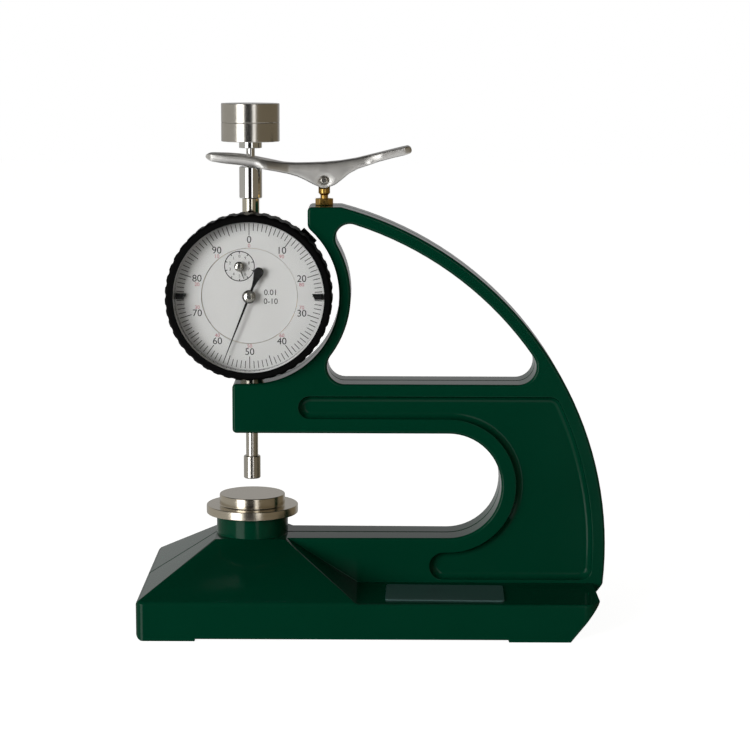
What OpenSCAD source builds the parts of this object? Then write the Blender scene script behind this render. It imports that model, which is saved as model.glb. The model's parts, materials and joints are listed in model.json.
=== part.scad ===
// Bench dial thickness gauge: a cast C-frame on a plinth, a round anvil, and a 10 mm dial
// indicator whose weighted spindle is raised by a thumb lever.
// Millimetres, +Z up. The origin is on the bench under the middle of the outline, and the
// dial faces -Y.

/* [Frame casting] */
// Spindle axis to the left end of the plinth
base_left = 38; // [36:0.5:44]
// Width of the plinth, front to back
base_w = 82; // [76:1:96]
// Height of the plinth's ledge above the bench
ledge_h = 13.25; // [11:0.25:16]
// Height of the tapered block that rises from the ledge to the throat floor
block_h = 16; // [13:0.5:20]
// Half width of the tapered block's flat top
block_top_half = 12.75; // [12.5:0.25:15]
// Height of the round neck under the anvil
neck_h = 7.25; // [5:0.25:10]
// Clear height of the throat
throat_h = 37.6; // [34:0.2:42]
// Spindle axis to the back of the throat
throat_depth = 88.7; // [80:0.5:94]
// Height of the arm that carries the indicator
arm_h = 17.6; // [15:0.2:21]
// Length of the arm to the left of the spindle axis
arm_nose = 6.35; // [6:0.05:8]
// Thickness of the C-shaped web
web_t = 20.8; // [19:0.2:26]
// Radius of the frame's back, centred on the spindle axis
back_r = 125.8; // [122:0.2:132]
// Height of the centre of the frame's back
back_z = 24.9; // [22:0.2:28]
// Gap between the bezel and the cradle round it
cradle_gap = 2.2; // [1.5:0.1:4]
// Spindle axis to the left face of the horn
horn_left = 20.2; // [18.5:0.1:21.5]
// Depth of the horn's top below the top of the indicator's fixed sleeve
horn_drop = 6.4; // [5:0.1:7.5]
// Width of the rim along the frame's back
back_rim = 4.6; // [3.5:0.1:6]
// Width of the rim between the cradle and the window
cradle_rim = 4.1; // [3.5:0.1:6]
// Border between the throat and the sunk panels
throat_border = 5.3; // [4:0.1:6.5]
// Border between the arm's top and the sunk panels
arm_border = 4.35; // [3:0.05:5]
// Depth of the sunk panel on each face of the web
panel_depth = 3; // [1:0.25:5]
// Depth of the relief between the two pads under the plinth
pad_relief = 0.8; // [0.4:0.1:2]

/* [Anvil] */
// Diameter of the anvil's measuring face
anvil_d = 23.4; // [18:0.2:28]
// Height of the anvil's disc above its flange
anvil_disc_h = 3.8; // [2:0.2:6]
// Diameter of the anvil's flange
flange_d = 32.74; // [30:0.02:36]
// Thickness of the anvil's flange
flange_t = 3.1; // [2:0.1:5]
// Diameter of the anvil's spigot in the neck
spigot_d = 10; // [8:0.5:12]
// Length of the anvil's spigot
spigot_len = 14; // [11.5:0.5:18]

/* [Spindle and weights] */
// Reading that the gauge is drawn at, the gap between foot and anvil
reading = 5.56; // [4:0.01:7]
// Travel of the gauge
travel = 10; // [9:0.5:10]
// Diameter of the spindle
spindle_d = 4.3; // [4.2:0.05:4.6]
// Diameter of the contact foot
foot_d = 6; // [5:0.1:7.5]
// Length of the contact foot
foot_len = 8.2; // [6:0.1:10]
// Outside diameter of the moving cap sleeve
cap_d = 8; // [7.8:0.1:8.4]
// Length of the cap sleeve
cap_len = 11.2; // [10.6:0.1:11.6]
// Thickness of the cap sleeve's end wall
cap_end = 1.2; // [0.8:0.1:2]
// Diameter of the rod between cap and weights
rod_d = 3; // [2.6:0.1:3.2]
// Bare length of that rod
rod_len = 6.4; // [6.2:0.1:8]
// Diameter of the collar that the lever lifts
collar_d = 8; // [7:0.1:8.2]
// Thickness of that collar
collar_t = 2.3; // [1.5:0.1:3]
// Diameter of the dead weights
weight_d = 20.4; // [18:0.2:24]
// Thickness of each dead weight
weight_t = 6.6; // [5:0.1:9]

/* [Indicator case] */
// Outside diameter of the case
case_d = 51.2; // [50.8:0.1:51.6]
// Wall of the case
case_wall = 2; // [1.5:0.1:2.4]
// Distance of the case's rear edge behind the spindle axis
case_back = 6; // [5.5:0.25:8]
// Thickness of the back cover
cover_t = 1.5; // [1:0.1:2.5]
// Diameter of the stem that the arm holds
stem_d = 8; // [7.8:0.1:9]
// Wall of the stem
stem_wall = 1; // [0.8:0.05:1.2]
// Height of the stem's end above the arm's underside
stem_inset = 1; // [0.5:0.25:4]
// Diameter of the fixed sleeve on top of the case
sleeve_d = 6; // [5.9:0.05:6.2]
// Wall of that sleeve
sleeve_wall = 0.5; // [0.4:0.05:0.55]
// Length of that sleeve above the case
sleeve_out = 11.75; // [11.5:0.05:13]
// Length of the spindle bushes
bush_len = 9; // [6:0.5:11]

/* [Bezel and dial] */
// Width of the bezel's rim outside the case
bezel_rim = 3.4; // [3.2:0.1:3.9]
// Number of grip scallops round the bezel
bezel_scallops = 45; // [36:1:54]
// Depth of each scallop
scallop_depth = 0.35; // [0.15:0.05:0.6]
// Depth of the bezel, front to back
bezel_depth = 11.6; // [11.2:0.1:12.4]
// Radius of the opening in the bezel's front lip beyond that of the case
opening_grow = 0.6; // [0.3:0.1:0.8]
// Thickness of the front lip
lip_t = 0.7; // [0.5:0.1:1.2]
// Thickness of the lens
lens_t = 1.4; // [1:0.1:1.8]
// Rise of the lens's dome
lens_rise = 1.1; // [0.6:0.1:2]
// Radius of the split between the turning dial ring and the fixed dial
split_r = 16.6; // [15.8:0.1:17.4]
// Thickness of the dial ring
dial_ring_t = 0.6; // [0.4:0.05:0.8]
// Distance of the pointer's tip from the lens's skirt
pointer_short = 2.4; // [1.5:0.1:5]
// Length of the pointer's tail
tail_len = 10.9; // [7:0.1:11]
// Length of the counter's hand
counter_len = 4.6; // [3.5:0.1:5]

/* [Movement] */
// Pitch of the rack's teeth
rack_pitch = 0.625; // [0.61:0.005:0.64]
// Rack's reference line to the spindle axis
rack_line = 1.8; // [1.7:0.02:1.84]
// Thickness of the movement's plates
plate_t = 1.1; // [0.8:0.1:1.2]
// Thickness of the two wheels
wheel_t = 0.8; // [0.5:0.1:1]
// Distance between the movement's plates
plate_gap = 4.1; // [3.9:0.1:4.2]

/* [Lever] */
// Spindle axis to the lever's pivot pin
pivot_reach = 25.8; // [24.8:0.1:26.6]
// Depth of the pivot pin below the top of the cap sleeve
pivot_drop = 4.6; // [4.2:0.1:5]
// Diameter of the pivot pin
pin_d = 2.6; // [2:0.1:3]
// Thickness of the post's tongue between the lever's cheeks
tongue_t = 2.2; // [1.8:0.1:2.8]
// Thickness of each cheek of the lever
cheek_t = 2.9; // [2.2:0.1:3.4]
// Width of the fork
fork_w = 16; // [14:0.2:19]
// Width of the thumb pad
pad_w = 14; // [11:0.2:18]
// Width across the flats of the post's lock nut
nut_af = 5.5; // [5.5:0.1:7]
// Thickness of the lock nut
nut_t = 2.4; // [1.8:0.1:3]

/* [Hidden] */
$fn = 96;
// Small clearances: a seat within one body, a running fit, and room between moving pieces
seat = 0.02;
run = 0.05;
room = 0.35;
// A blind hole is this much deeper than the piece in it
hole_end = 0.4;
// A cut runs this far past the face it opens
past = 1;

// Heights, from the bench up
throat_z = ledge_h + block_h;
neck_top = throat_z + neck_h;
flange_top = neck_top + flange_t;
anvil_top = flange_top + anvil_disc_h;
ceiling_z = throat_z + throat_h;
arm_top = ceiling_z + arm_h;
case_r = case_d / 2;
bezel_r = case_r + bezel_rim;
cradle_r = bezel_r + cradle_gap;
dial_z = arm_top + cradle_r;
foot_z = anvil_top + reading;
foot_top = foot_z + foot_len;
sleeve_top = dial_z + case_r + sleeve_out;
horn_top = sleeve_top - horn_drop;
stop_gap = 0.34;
cap_inner_top = sleeve_top + reading + stop_gap;
cap_top = cap_inner_top + cap_end;
collar_z = cap_top + rod_len;
weight_z = collar_z + collar_t;
weight_joint = weight_z + weight_t;
pivot_z = cap_top - pivot_drop;

// Frame outline
overall_l = base_left + back_r;
spindle_x = base_left - overall_l / 2;
web_half = web_t / 2;
throat_r = throat_h / 2;
throat_mid = [throat_depth - throat_r, throat_z + throat_r];
heel_in = 14.3;
heel_slope = 0.76;
heel_overhang = 3.8;
heel_x = back_r - heel_in;
web_heel_x = heel_x + heel_overhang;
window_r = back_r - back_rim;
window_left_r = cradle_r + cradle_rim;
window_corner = 6.3;
window_tip = 5;
casting_corner = 1.5;
horn_corner = 3;
panel_top = arm_top - arm_border;
panel_bottom = throat_z - throat_border;
panel_low = ceiling_z + throat_border;
panel_slot_r = (panel_top - panel_low) / 2;
panel_left = 17;
panel_tail = 63.5;
panel_corner = 4;
ledge_border = 1.05;
panel_foot = ledge_h + ledge_border;
panel_tail_r = (panel_bottom - panel_foot) / 2;
pad_left_x = -17.6;
pad_right_x = 90;
set_screw_d = 4;
set_screw_inset = 0.6;
post_d = 3;
post_depth = 8;
anvil_screw_z = throat_z + neck_h / 2;
stem_screw_z = ceiling_z + arm_h / 2;

// Indicator stack: distances in front of the spindle axis
plate_spindle_gap = 0.85;
plate_back_f = spindle_d / 2 + plate_spindle_gap;
plate_back_face = plate_back_f + plate_t;
plate_front_f = plate_back_face + plate_gap;
plate_front_face = plate_front_f + plate_t;
case_ring_gap = 0.3;
case_front = plate_front_face - case_ring_gap;
ring_back_f = case_front + case_ring_gap;
clamp_flange_t = 1;
dial_ring_f = ring_back_f + clamp_flange_t;
dial_face = dial_ring_f + dial_ring_t;
bezel_overlap = 3;
bezel_back = case_front - bezel_overlap;
bezel_front = bezel_back + bezel_depth;
lens_edge_f = bezel_front - lip_t;
inner_dial_t = 0.4;
inner_dial_step = 0.35;
split_gap = 0.15;
inner_dial_face = dial_face - inner_dial_step;
inner_dial_f = inner_dial_face - inner_dial_t;
hand_t = 0.2;
counter_hand_gap = 0.7;
pointer_gap = 0.9;
counter_hand_f = dial_face + counter_hand_gap;
pointer_f = counter_hand_f + hand_t + pointer_gap;
case_bore = case_r - case_wall;
clamp_wall = 1;
clamp_run = 0.1;
clamp_bore = case_r + clamp_run;
bezel_bore = clamp_bore + clamp_wall + seat;
opening_r = case_r + opening_grow;
lens_skirt = 0.9;
lens_skirt_r = bezel_bore - seat - lens_skirt;
pointer_len = lens_skirt_r - pointer_short;
boss_r = 2.3;
boss_angle = 35;
boss_inset = 1.8;
boss_ring_r = case_bore - boss_inset;
pillar_r = 1.5;
pillar_inset = 2.4;
pillar_ring_r = boss_ring_r - pillar_inset;
screw_r = 0.8;
screw_head_r = 1.4;
screw_head_t = 0.5;
screw_len = 3.4;
cover_screw_len = 4.5;
snap_wire_d = 0.76;
snap_f = case_front - bezel_overlap / 2;

// Gear train: a 16-tooth pinion on the rack, its 100-tooth wheel drives the 10-tooth centre pinion
gear_module = rack_pitch / PI;
pressure_angle = 20;
rack_pinion_teeth = 16;
wheel_teeth = 100;
centre_teeth = 10;
rack_shift = 0.1;
centre_shift = 0.42;
tooth_thinning = 0.05;
addendum = 0.85;
dedendum = 1.2;
function pitch_r(teeth) = teeth * gear_module / 2;
arbor_gap = pitch_r(wheel_teeth) + pitch_r(centre_teeth);
counter_x = -(rack_line + pitch_r(rack_pinion_teeth) + rack_shift * gear_module);
counter_y = sqrt(arbor_gap ^ 2 - counter_x ^ 2);
counter_at = [counter_x, counter_y];
takeup_at = -counter_at;
mesh_angle = atan2(counter_y, counter_x);
wheel_gap = 0.8;
wheel_f = plate_back_face + wheel_gap;
pivot_r = 0.4;
arbor_r = 0.7;
pinion_half = 1.4;
bridge_t = 1;
bridge_gap = 0.45;
bridge_f = -spindle_d / 2 - bridge_gap - bridge_t;
rack_margin = 1.6;
rail_gap_half = 0.8;
guide_pin_drop = 8;
guide_pin_z = dial_z - guide_pin_drop;
guide_pin_len = 6.4;

// Hands at the drawn reading: one turn of the pointer per millimetre, a tenth of a turn of the counter
pointer_angle = -360 * reading;
counter_angle = 36 * reading;

// Places a child drawn about the spindle axis
module on_axis() { translate([spindle_x, 0, 0]) children(); }

// Places a child drawn as the dial is seen: x right, y up, z towards the viewer
module facing() { translate([spindle_x, 0, dial_z]) rotate([90, 0, 0]) children(); }

// Extrudes a side view (x right, y up) to both sides of the frame's middle plane
module side_slab(thickness) { rotate([90, 0, 0]) linear_extrude(thickness, center = true) children(); }

// A cylinder between two heights
module rod(r, z0, z1) { translate([0, 0, z0]) cylinder(r = r, h = z1 - z0); }

// A round hole that runs past both heights
module bore(r, z0, z1) { rod(r, z0 - past, z1 + past); }

// A tube between two heights
module tube(r_out, r_in, z0, z1) {
    difference() {
        rod(r_out, z0, z1);
        bore(r_in, z0, z1);
    }
}

// A turned piece from (radius, height) points
module turned(points) { rotate_extrude() polygon(points); }

// Copies a child to four places on a ring
module four(ring_r, first) {
    for (i = [0 : 3])
        rotate(first + 90 * i) translate([ring_r, 0, 0]) rotate(-first - 90 * i) children();
}

// The waste outside a round corner with centre c that touches its sides at a and b. It reaches well past
// the point where the sides meet, so that curved sides leave no sliver there.
waste_reach = 2.2;
module corner_waste(c, a, b) {
    r = norm(a - c);
    half = a + b - 2 * c;
    apex = c + half * (2 * r * r) / (half * half) * waste_reach;
    difference() {
        polygon([c, a, apex, b]);
        translate(c) circle(r);
    }
}

// The point on the right at distance d1 from height z1 and d2 from height z2 on the axis
function meet(z1, d1, z2, d2) =
    let (z = z1 + (d1 ^ 2 - d2 ^ 2 + (z2 - z1) ^ 2) / (2 * (z2 - z1)))
    [sqrt(d1 ^ 2 - (z - z1) ^ 2), z];

// The point of a circle that faces point p
function facing_point(c, r, p) = c + r * (p - c) / norm(p - c);

back_mid = [0, back_z];
dial_mid = [0, dial_z];

// Side view of the throat, grown by a border
module throat_side(border) {
    translate(throat_mid) circle(throat_r + border);
    translate([-base_left, throat_mid.y - throat_r - border])
        square([base_left + throat_mid.x, 2 * (throat_r + border)]);
}

// Side view of the triangular window between the horn, the back and the arm
module window_side() {
    low_r = [sqrt((window_r - window_corner) ^ 2 - (arm_top + window_corner - back_z) ^ 2),
        arm_top + window_corner];
    low_l = [sqrt((window_left_r + window_corner) ^ 2 - (dial_z - arm_top - window_corner) ^ 2),
        arm_top + window_corner];
    tip = meet(back_z, window_r - window_tip, dial_z, window_left_r + window_tip);
    difference() {
        intersection() {
            translate(back_mid) circle(window_r);
            translate([0, arm_top]) square([back_r, back_r]);
        }
        translate(dial_mid) circle(window_left_r);
        translate([0, tip.y + window_tip]) square([tip.x - window_tip, back_r]);
        corner_waste(low_r, low_r - [0, window_corner],
            facing_point(low_r, window_corner, 2 * low_r - back_mid));
        corner_waste(low_l, low_l - [0, window_corner], facing_point(low_l, window_corner, dial_mid));
        corner_waste(tip, facing_point(tip, window_tip, dial_mid),
            facing_point(tip, window_tip, 2 * tip - back_mid));
    }
}

// Side view of a sunk panel: along the arm, round the throat and down to the ledge
module panel_side() {
    panel_r = back_r - back_rim;
    slot_mid = (panel_top + panel_low) / 2;
    corner = [sqrt((panel_r - panel_corner) ^ 2 - (panel_top - panel_corner - back_z) ^ 2),
        panel_top - panel_corner];
    heel = [sqrt((panel_r - panel_corner) ^ 2 - (panel_foot + panel_corner - back_z) ^ 2),
        panel_foot + panel_corner];
    tail_x = panel_tail + panel_tail_r;
    slot_x = panel_left + panel_slot_r;
    difference() {
        intersection() {
            translate(back_mid) circle(panel_r);
            translate([slot_x, panel_foot]) square([back_r, panel_top - panel_foot]);
        }
        throat_side(throat_border);
        square([tail_x, panel_bottom]);
        corner_waste(corner, corner + [0, panel_corner],
            facing_point(corner, panel_corner, 2 * corner - back_mid));
        corner_waste(heel, heel - [0, panel_corner],
            facing_point(heel, panel_corner, 2 * heel - back_mid));
    }
    translate([slot_x, slot_mid]) circle(panel_slot_r);
    translate([tail_x, panel_foot + panel_tail_r]) circle(panel_tail_r);
}

// Side view of the C-shaped web
module web_side() {
    heel_a = web_heel_x * heel_slope - back_z;
    heel_b = 1 + heel_slope ^ 2;
    heel_z = (-heel_a + sqrt(heel_a ^ 2 - heel_b * (web_heel_x ^ 2 + back_z ^ 2 - back_r ^ 2))) / heel_b;
    heel_end = web_heel_x + heel_slope * heel_z;
    nose = [-arm_nose + casting_corner, ceiling_z + casting_corner];
    nose_top = [-arm_nose + casting_corner, arm_top - casting_corner];
    horn = [horn_left + casting_corner, horn_top - casting_corner];
    horn_foot = [horn_left + horn_corner,
        dial_z + sqrt((cradle_r + horn_corner) ^ 2 - (horn_left + horn_corner) ^ 2)];
    difference() {
        union() {
            intersection() {
                translate(back_mid) circle(back_r);
                polygon([[0, pad_relief], [web_heel_x + heel_slope * pad_relief, pad_relief],
                    [heel_end, heel_z], [back_r, heel_z], [back_r, horn_top], [horn_left, horn_top],
                    [horn_left, dial_z], [0, dial_z]]);
            }
            translate([-arm_nose, ceiling_z]) square([arm_nose + past, arm_h]);
        }
        throat_side(0);
        window_side();
        translate(dial_mid) circle(cradle_r);
        corner_waste(nose, nose - [casting_corner, 0], nose - [0, casting_corner]);
        corner_waste(nose_top, nose_top - [casting_corner, 0], nose_top + [0, casting_corner]);
        corner_waste(horn, horn - [casting_corner, 0], horn + [0, casting_corner]);
        corner_waste(horn_foot, horn_foot - [horn_corner, 0], facing_point(horn_foot, horn_corner, dial_mid));
    }
}

// Plan view of the plinth with its round corners
ledge_end = heel_x + heel_slope * ledge_h;
module plinth_plan() {
    front_corner = 3;
    heel_corner = 6;
    half = base_w / 2;
    difference() {
        translate([-base_left, -half]) square([base_left + ledge_end, base_w]);
        for (side = [-1, 1]) {
            left = [-base_left + front_corner, side * (half - front_corner)];
            right = [ledge_end - heel_corner, side * (half - heel_corner)];
            corner_waste(left, left - [front_corner, 0], left + [0, side * front_corner]);
            corner_waste(right, right + [heel_corner, 0], right + [0, side * heel_corner]);
        }
    }
}

// Plinth with an undercut heel, round corners in plan and a relief between its two pads
module plinth() {
    toe_corner = 2.4;
    toe = [-base_left + toe_corner, toe_corner];
    difference() {
        intersection() {
            side_slab(base_w) difference() {
                polygon([[-base_left, 0], [heel_x, 0], [ledge_end, ledge_h], [-base_left, ledge_h]]);
                corner_waste(toe, toe - [toe_corner, 0], toe - [0, toe_corner]);
            }
            linear_extrude(ledge_h) plinth_plan();
        }
        translate([pad_left_x, -base_w, -past])
            cube([pad_right_x - pad_left_x, 2 * base_w, past + pad_relief]);
    }
}

// Tapered block from the ledge up to the neck
module taper_block() {
    half_l = base_left;
    intersection() {
        side_slab(base_w) polygon([[-half_l, ledge_h], [half_l, ledge_h],
            [block_top_half, throat_z], [-block_top_half, throat_z]]);
        rotate([0, 0, 90]) side_slab(2 * half_l) polygon([[-base_w / 2, ledge_h], [base_w / 2, ledge_h],
            [block_top_half, throat_z], [-block_top_half, throat_z]]);
        linear_extrude(throat_z + past) plinth_plan();
    }
}

module frame_casting() {
    color([0, 0.22, 0.16]) on_axis() difference() {
        union() {
            plinth();
            taper_block();
            rod(block_top_half, throat_z, neck_top);
            side_slab(web_t) web_side();
        }
        for (side = [-1, 1])
            translate([0, side * web_half, 0]) side_slab(2 * panel_depth) panel_side();
        bore(stem_d / 2 + seat, ceiling_z, arm_top);
        rod(spigot_d / 2 + seat, neck_top - spigot_len - hole_end, neck_top + past);
        translate([0, 0, anvil_screw_z]) rotate([-90, 0, 0])
            rod(set_screw_d / 2 + seat, 0, block_top_half + past);
        translate([0, 0, stem_screw_z]) rotate([-90, 0, 0])
            rod(set_screw_d / 2 + seat, 0, web_half + past);
        translate([pivot_reach, 0, 0])
            rod(post_d / 2 + seat, horn_top - post_depth - hole_end, horn_top + past);
    }
}

// Stepped anvil with a spigot and a fine ring turned in its face
module anvil() {
    edge = 0.4;
    r = anvil_d / 2;
    flange_r = flange_d / 2;
    spigot_r = spigot_d / 2;
    color([0.7, 0.69, 0.66]) on_axis() turned([[0, neck_top - spigot_len],
        [spigot_r - edge, neck_top - spigot_len], [spigot_r, neck_top - spigot_len + edge],
        [spigot_r, neck_top], [flange_r - edge, neck_top], [flange_r, neck_top + edge],
        [flange_r, flange_top - edge], [flange_r - edge, flange_top], [r, flange_top],
        [r, anvil_top - edge], [r - edge, anvil_top], [0, anvil_top]]);
}

// Slotted set screw that lies along +Y between two distances from the axis
module set_screw(y0, y1) {
    slot_w = 0.8;
    slot_h = 1;
    rotate([-90, 0, 0]) difference() {
        rod(set_screw_d / 2, y0, y1);
        translate([-set_screw_d, -slot_w / 2, y1 - slot_h]) cube([2 * set_screw_d, slot_w, slot_h + past]);
    }
}

module anvil_screw() {
    color([0.25, 0.25, 0.27]) on_axis() translate([0, 0, anvil_screw_z])
        set_screw(spigot_d / 2 + seat, block_top_half - set_screw_inset);
}

module stem_screw() {
    color([0.25, 0.25, 0.27]) on_axis() translate([0, 0, stem_screw_z])
        set_screw(stem_d / 2 + seat, web_half - set_screw_inset);
}

// Lever pivot
eye_wall = 1.1;
lobe_wall = 1.6;
eye_r = pin_d / 2 + eye_wall;
lobe_r = pin_d / 2 + lobe_wall;
post_top_r = 2;
post_shoulder = pivot_z - lobe_r - room;

// Brass post: threaded shank, necked shoulder and a flat tongue with the pivot eye
module lever_post() {
    neck_r = 1.35;
    shoulder_h = 1.4;
    taper_h = 0.7;
    nut_top = horn_top + nut_t;
    color([0.72, 0.56, 0.3]) on_axis() translate([pivot_reach, 0, 0]) difference() {
        union() {
            turned([[0, horn_top - post_depth], [post_d / 2, horn_top - post_depth], [post_d / 2, nut_top],
                [neck_r, nut_top], [neck_r, post_shoulder - shoulder_h - taper_h],
                [post_top_r, post_shoulder - shoulder_h], [post_top_r, post_shoulder], [0, post_shoulder]]);
            translate([-post_top_r, -tongue_t / 2, post_shoulder - shoulder_h])
                cube([2 * post_top_r, tongue_t, pivot_z - post_shoulder + shoulder_h]);
            translate([0, 0, pivot_z]) side_slab(tongue_t) circle(eye_r);
        }
        translate([0, 0, pivot_z]) rotate([90, 0, 0]) bore(pin_d / 2 + run, -tongue_t, tongue_t);
    }
}

// Hexagon lock nut under the post
module post_nut() {
    color([0.72, 0.56, 0.3]) on_axis() translate([pivot_reach, 0, 0]) difference() {
        translate([0, 0, horn_top]) cylinder(d = nut_af / cos(30), h = nut_t, $fn = 6);
        bore(post_d / 2 + seat, horn_top, horn_top + nut_t);
    }
}

// Turned case with four screw bosses inside and openings for stem, sleeve and clip screw
module case_body() {
    groove_r = snap_wire_d / 2 + run;
    color([0.6, 0.6, 0.6]) facing() difference() {
        union() {
            tube(case_r, case_bore, -case_back, case_front);
            intersection() {
                four(boss_ring_r, boss_angle) rod(boss_r, -case_back, plate_back_f);
                rod(case_r - case_wall / 2, -case_back, case_front);
            }
        }
        rotate([90, 0, 0]) bore(stem_d / 2 + seat, 0, case_r);
        rotate([-90, 0, 0]) bore(sleeve_d / 2 + seat, 0, case_r);
        translate([0, 0, clip_f + clip_l / 2]) rotate([0, 90, clip_angle])
            bore(screw_r + seat, case_bore, case_r);
        translate([0, 0, snap_f]) rotate_extrude() translate([case_r, 0]) circle(groove_r);
        four(boss_ring_r, boss_angle) {
            rod(screw_r + seat, -case_back - past, -case_back + cover_screw_len);
            rod(screw_r + seat, plate_back_f - screw_len, plate_back_f + past);
        }
    }
}

// Round cover behind the case
module back_cover() {
    color([0.6, 0.6, 0.6]) facing() difference() {
        rod(case_r, -case_back - cover_t, -case_back);
        four(boss_ring_r, boss_angle) bore(screw_r + seat, -case_back - cover_t, -case_back);
    }
}

// Cheese-head screw whose head seats on z = 0 and whose shank runs down
module screw(length) {
    slot_w = 0.4;
    slot_h = 0.25;
    difference() {
        union() {
            rod(screw_r, -length, 0);
            rod(screw_head_r, 0, screw_head_t);
        }
        translate([-2 * screw_head_r, -slot_w / 2, screw_head_t - slot_h])
            cube([4 * screw_head_r, slot_w, slot_h + past]);
    }
}

module cover_screws() {
    color([0.75, 0.75, 0.75]) facing() four(boss_ring_r, boss_angle)
        translate([0, 0, -case_back - cover_t]) rotate([180, 0, 0])
            screw(cover_t + cover_screw_len - hole_end);
}

stem_foot = ceiling_z + stem_inset;
stem_r = stem_d / 2;
stem_bore = stem_r - stem_wall;
tube_end = 2;
stem_end = dial_z - case_bore + tube_end;
sleeve_r = sleeve_d / 2;
sleeve_bore = sleeve_r - sleeve_wall;
sleeve_foot = dial_z + case_bore - tube_end;

// Tube that the arm clamps, with the indicator's lower bush inside
module stem() {
    color([0.75, 0.74, 0.7]) on_axis() tube(stem_r, stem_bore, stem_foot, stem_end);
}

module lower_bush() {
    color([0.75, 0.6, 0.35]) on_axis()
        tube(stem_bore - seat, spindle_d / 2 + run, stem_foot, stem_foot + bush_len);
}

// Fixed sleeve above the case, with the upper bush inside
module top_sleeve() {
    color([0.75, 0.7, 0.55]) on_axis() tube(sleeve_r, sleeve_bore, sleeve_foot, sleeve_top);
}

module upper_bush() {
    color([0.75, 0.6, 0.35]) on_axis()
        tube(sleeve_bore - seat, spindle_d / 2 + run, sleeve_top - bush_len, sleeve_top);
}

// Places on the plates
bridge_post_near = 4.8;
bridge_post_far = 9.2;
bridge_post_x = [counter_x - bridge_post_near, counter_x - bridge_post_far];
module at_bridge_posts() {
    for (x = bridge_post_x) translate([x, counter_y, 0]) children();
}

// Pillars stand beside the two wheels
pillar_spread = 35;
module at_pillars() {
    for (middle = [mesh_angle - 90, mesh_angle + 90]) for (side = [-1, 1])
        rotate(middle + side * pillar_spread) translate([pillar_ring_r, 0, 0]) children();
}

// Rear plate of the movement, carried on the case's bosses and notched round the stem
module back_plate() {
    notch_half = stem_r + room;
    color([0.78, 0.66, 0.4]) facing() difference() {
        rod(case_bore - room, plate_back_f, plate_back_face);
        four(boss_ring_r, boss_angle) bore(screw_r + seat, plate_back_f, plate_back_face);
        at_pillars() bore(screw_r + seat, plate_back_f, plate_back_face);
        at_bridge_posts() bore(screw_r + seat, plate_back_f, plate_back_face);
        bore(pivot_r + run, plate_back_f, plate_back_face);
        translate(takeup_at) bore(pivot_r + run, plate_back_f, plate_back_face);
        translate(counter_at) bore(pitch_r(rack_pinion_teeth) + 2 * room, plate_back_f, plate_back_face);
        translate([-notch_half, -case_bore, plate_back_f - past])
            cube([2 * notch_half, tube_end + room, plate_t + 2 * past]);
    }
}

plate_border = 2.6;

// Front plate on its pillars
module front_plate() {
    color([0.78, 0.66, 0.4]) facing() difference() {
        rod(pillar_ring_r + plate_border, plate_front_f, plate_front_face);
        at_pillars() bore(screw_r + seat, plate_front_f, plate_front_face);
        bore(arbor_r + run, plate_front_f, plate_front_face);
        translate(counter_at) bore(arbor_r + run, plate_front_f, plate_front_face);
        translate(takeup_at) bore(pivot_r + run, plate_front_f, plate_front_face);
    }
}

module plate_pillars() {
    color([0.78, 0.66, 0.4]) facing() at_pillars()
        tube(pillar_r, screw_r + seat, plate_back_face, plate_front_f);
}

// Bridge behind the rack pinion, on two posts of its own
module rear_bridge() {
    width = 5;
    color([0.78, 0.66, 0.4]) facing() difference() {
        union() {
            translate([0, counter_y - width / 2, bridge_f])
                translate([bridge_post_x[1], 0, 0]) cube([counter_x - bridge_post_x[1], width, bridge_t]);
            translate(counter_at) rod(width / 2, bridge_f, bridge_f + bridge_t);
            translate([bridge_post_x[1], counter_y, 0]) rod(width / 2, bridge_f, bridge_f + bridge_t);
            at_bridge_posts() rod(pillar_r, bridge_f, plate_back_f);
        }
        translate(counter_at) bore(pivot_r + run, bridge_f, bridge_f + bridge_t);
        at_bridge_posts() rod(screw_r + seat, plate_back_f - screw_len, plate_back_f + past);
    }
}

// Screws of the movement: plate to case, front plate to pillars, plate to bridge
module movement_screws() {
    plate_screw = plate_t + screw_len - hole_end;
    color([0.4, 0.42, 0.5]) facing() {
        four(boss_ring_r, boss_angle) translate([0, 0, plate_back_face]) screw(plate_screw);
        at_bridge_posts() translate([0, 0, plate_back_face]) screw(plate_screw);
        at_pillars() translate([0, 0, plate_front_face]) screw(plate_t + plate_gap + plate_t);
    }
}

rail_x = 4.4;
rail_w = 3;
rail_back = 2.4;

// Slotted rail that keeps the spindle from turning
module guide_rail() {
    low = guide_pin_z - reading - rail_gap_half - 1.2;
    high = guide_pin_z + travel - reading + rail_gap_half + 1.2;
    color([0.75, 0.75, 0.78]) facing() difference() {
        translate([rail_x, low - dial_z, -rail_back]) cube([rail_w, high - low, rail_back + plate_back_f]);
        translate([rail_x - past, low - dial_z - past, -rail_gap_half - run])
            cube([guide_pin_len - rail_x + room + past, high - low + 2 * past, 2 * (rail_gap_half + run)]);
    }
}

// Flat hairspring that keeps the train's play to one side
spring_turns = 3.5;
spring_pitch = 0.9;
spring_wire = 0.16;
spring_r = 1.7;
spring_f = plate_front_f - 1.6;
spring_h = 0.5;
collet_r = 1.2;
function spiral(turn, side) = (spring_r + spring_pitch * turn + side * spring_wire / 2)
    * [cos(360 * turn), sin(360 * turn)];
module hairspring() {
    steps = 24 * spring_turns;
    inner = [for (i = [0 : steps]) spiral(i / 24, -1)];
    outer = [for (i = [steps : -1 : 0]) spiral(i / 24, 1)];
    color([0.35, 0.4, 0.6]) facing() translate(takeup_at) translate([0, 0, spring_f])
        linear_extrude(spring_h) polygon(concat(inner, outer));
}

// Stud on the front plate that holds the hairspring's outer end
module hairspring_stud() {
    peg_r = 0.5;
    end = spiral(spring_turns, 1) + [-peg_r - seat, 0];
    color([0.75, 0.75, 0.78]) facing() translate(takeup_at) translate(end)
        rod(peg_r, spring_f, plate_front_f);
}

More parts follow.
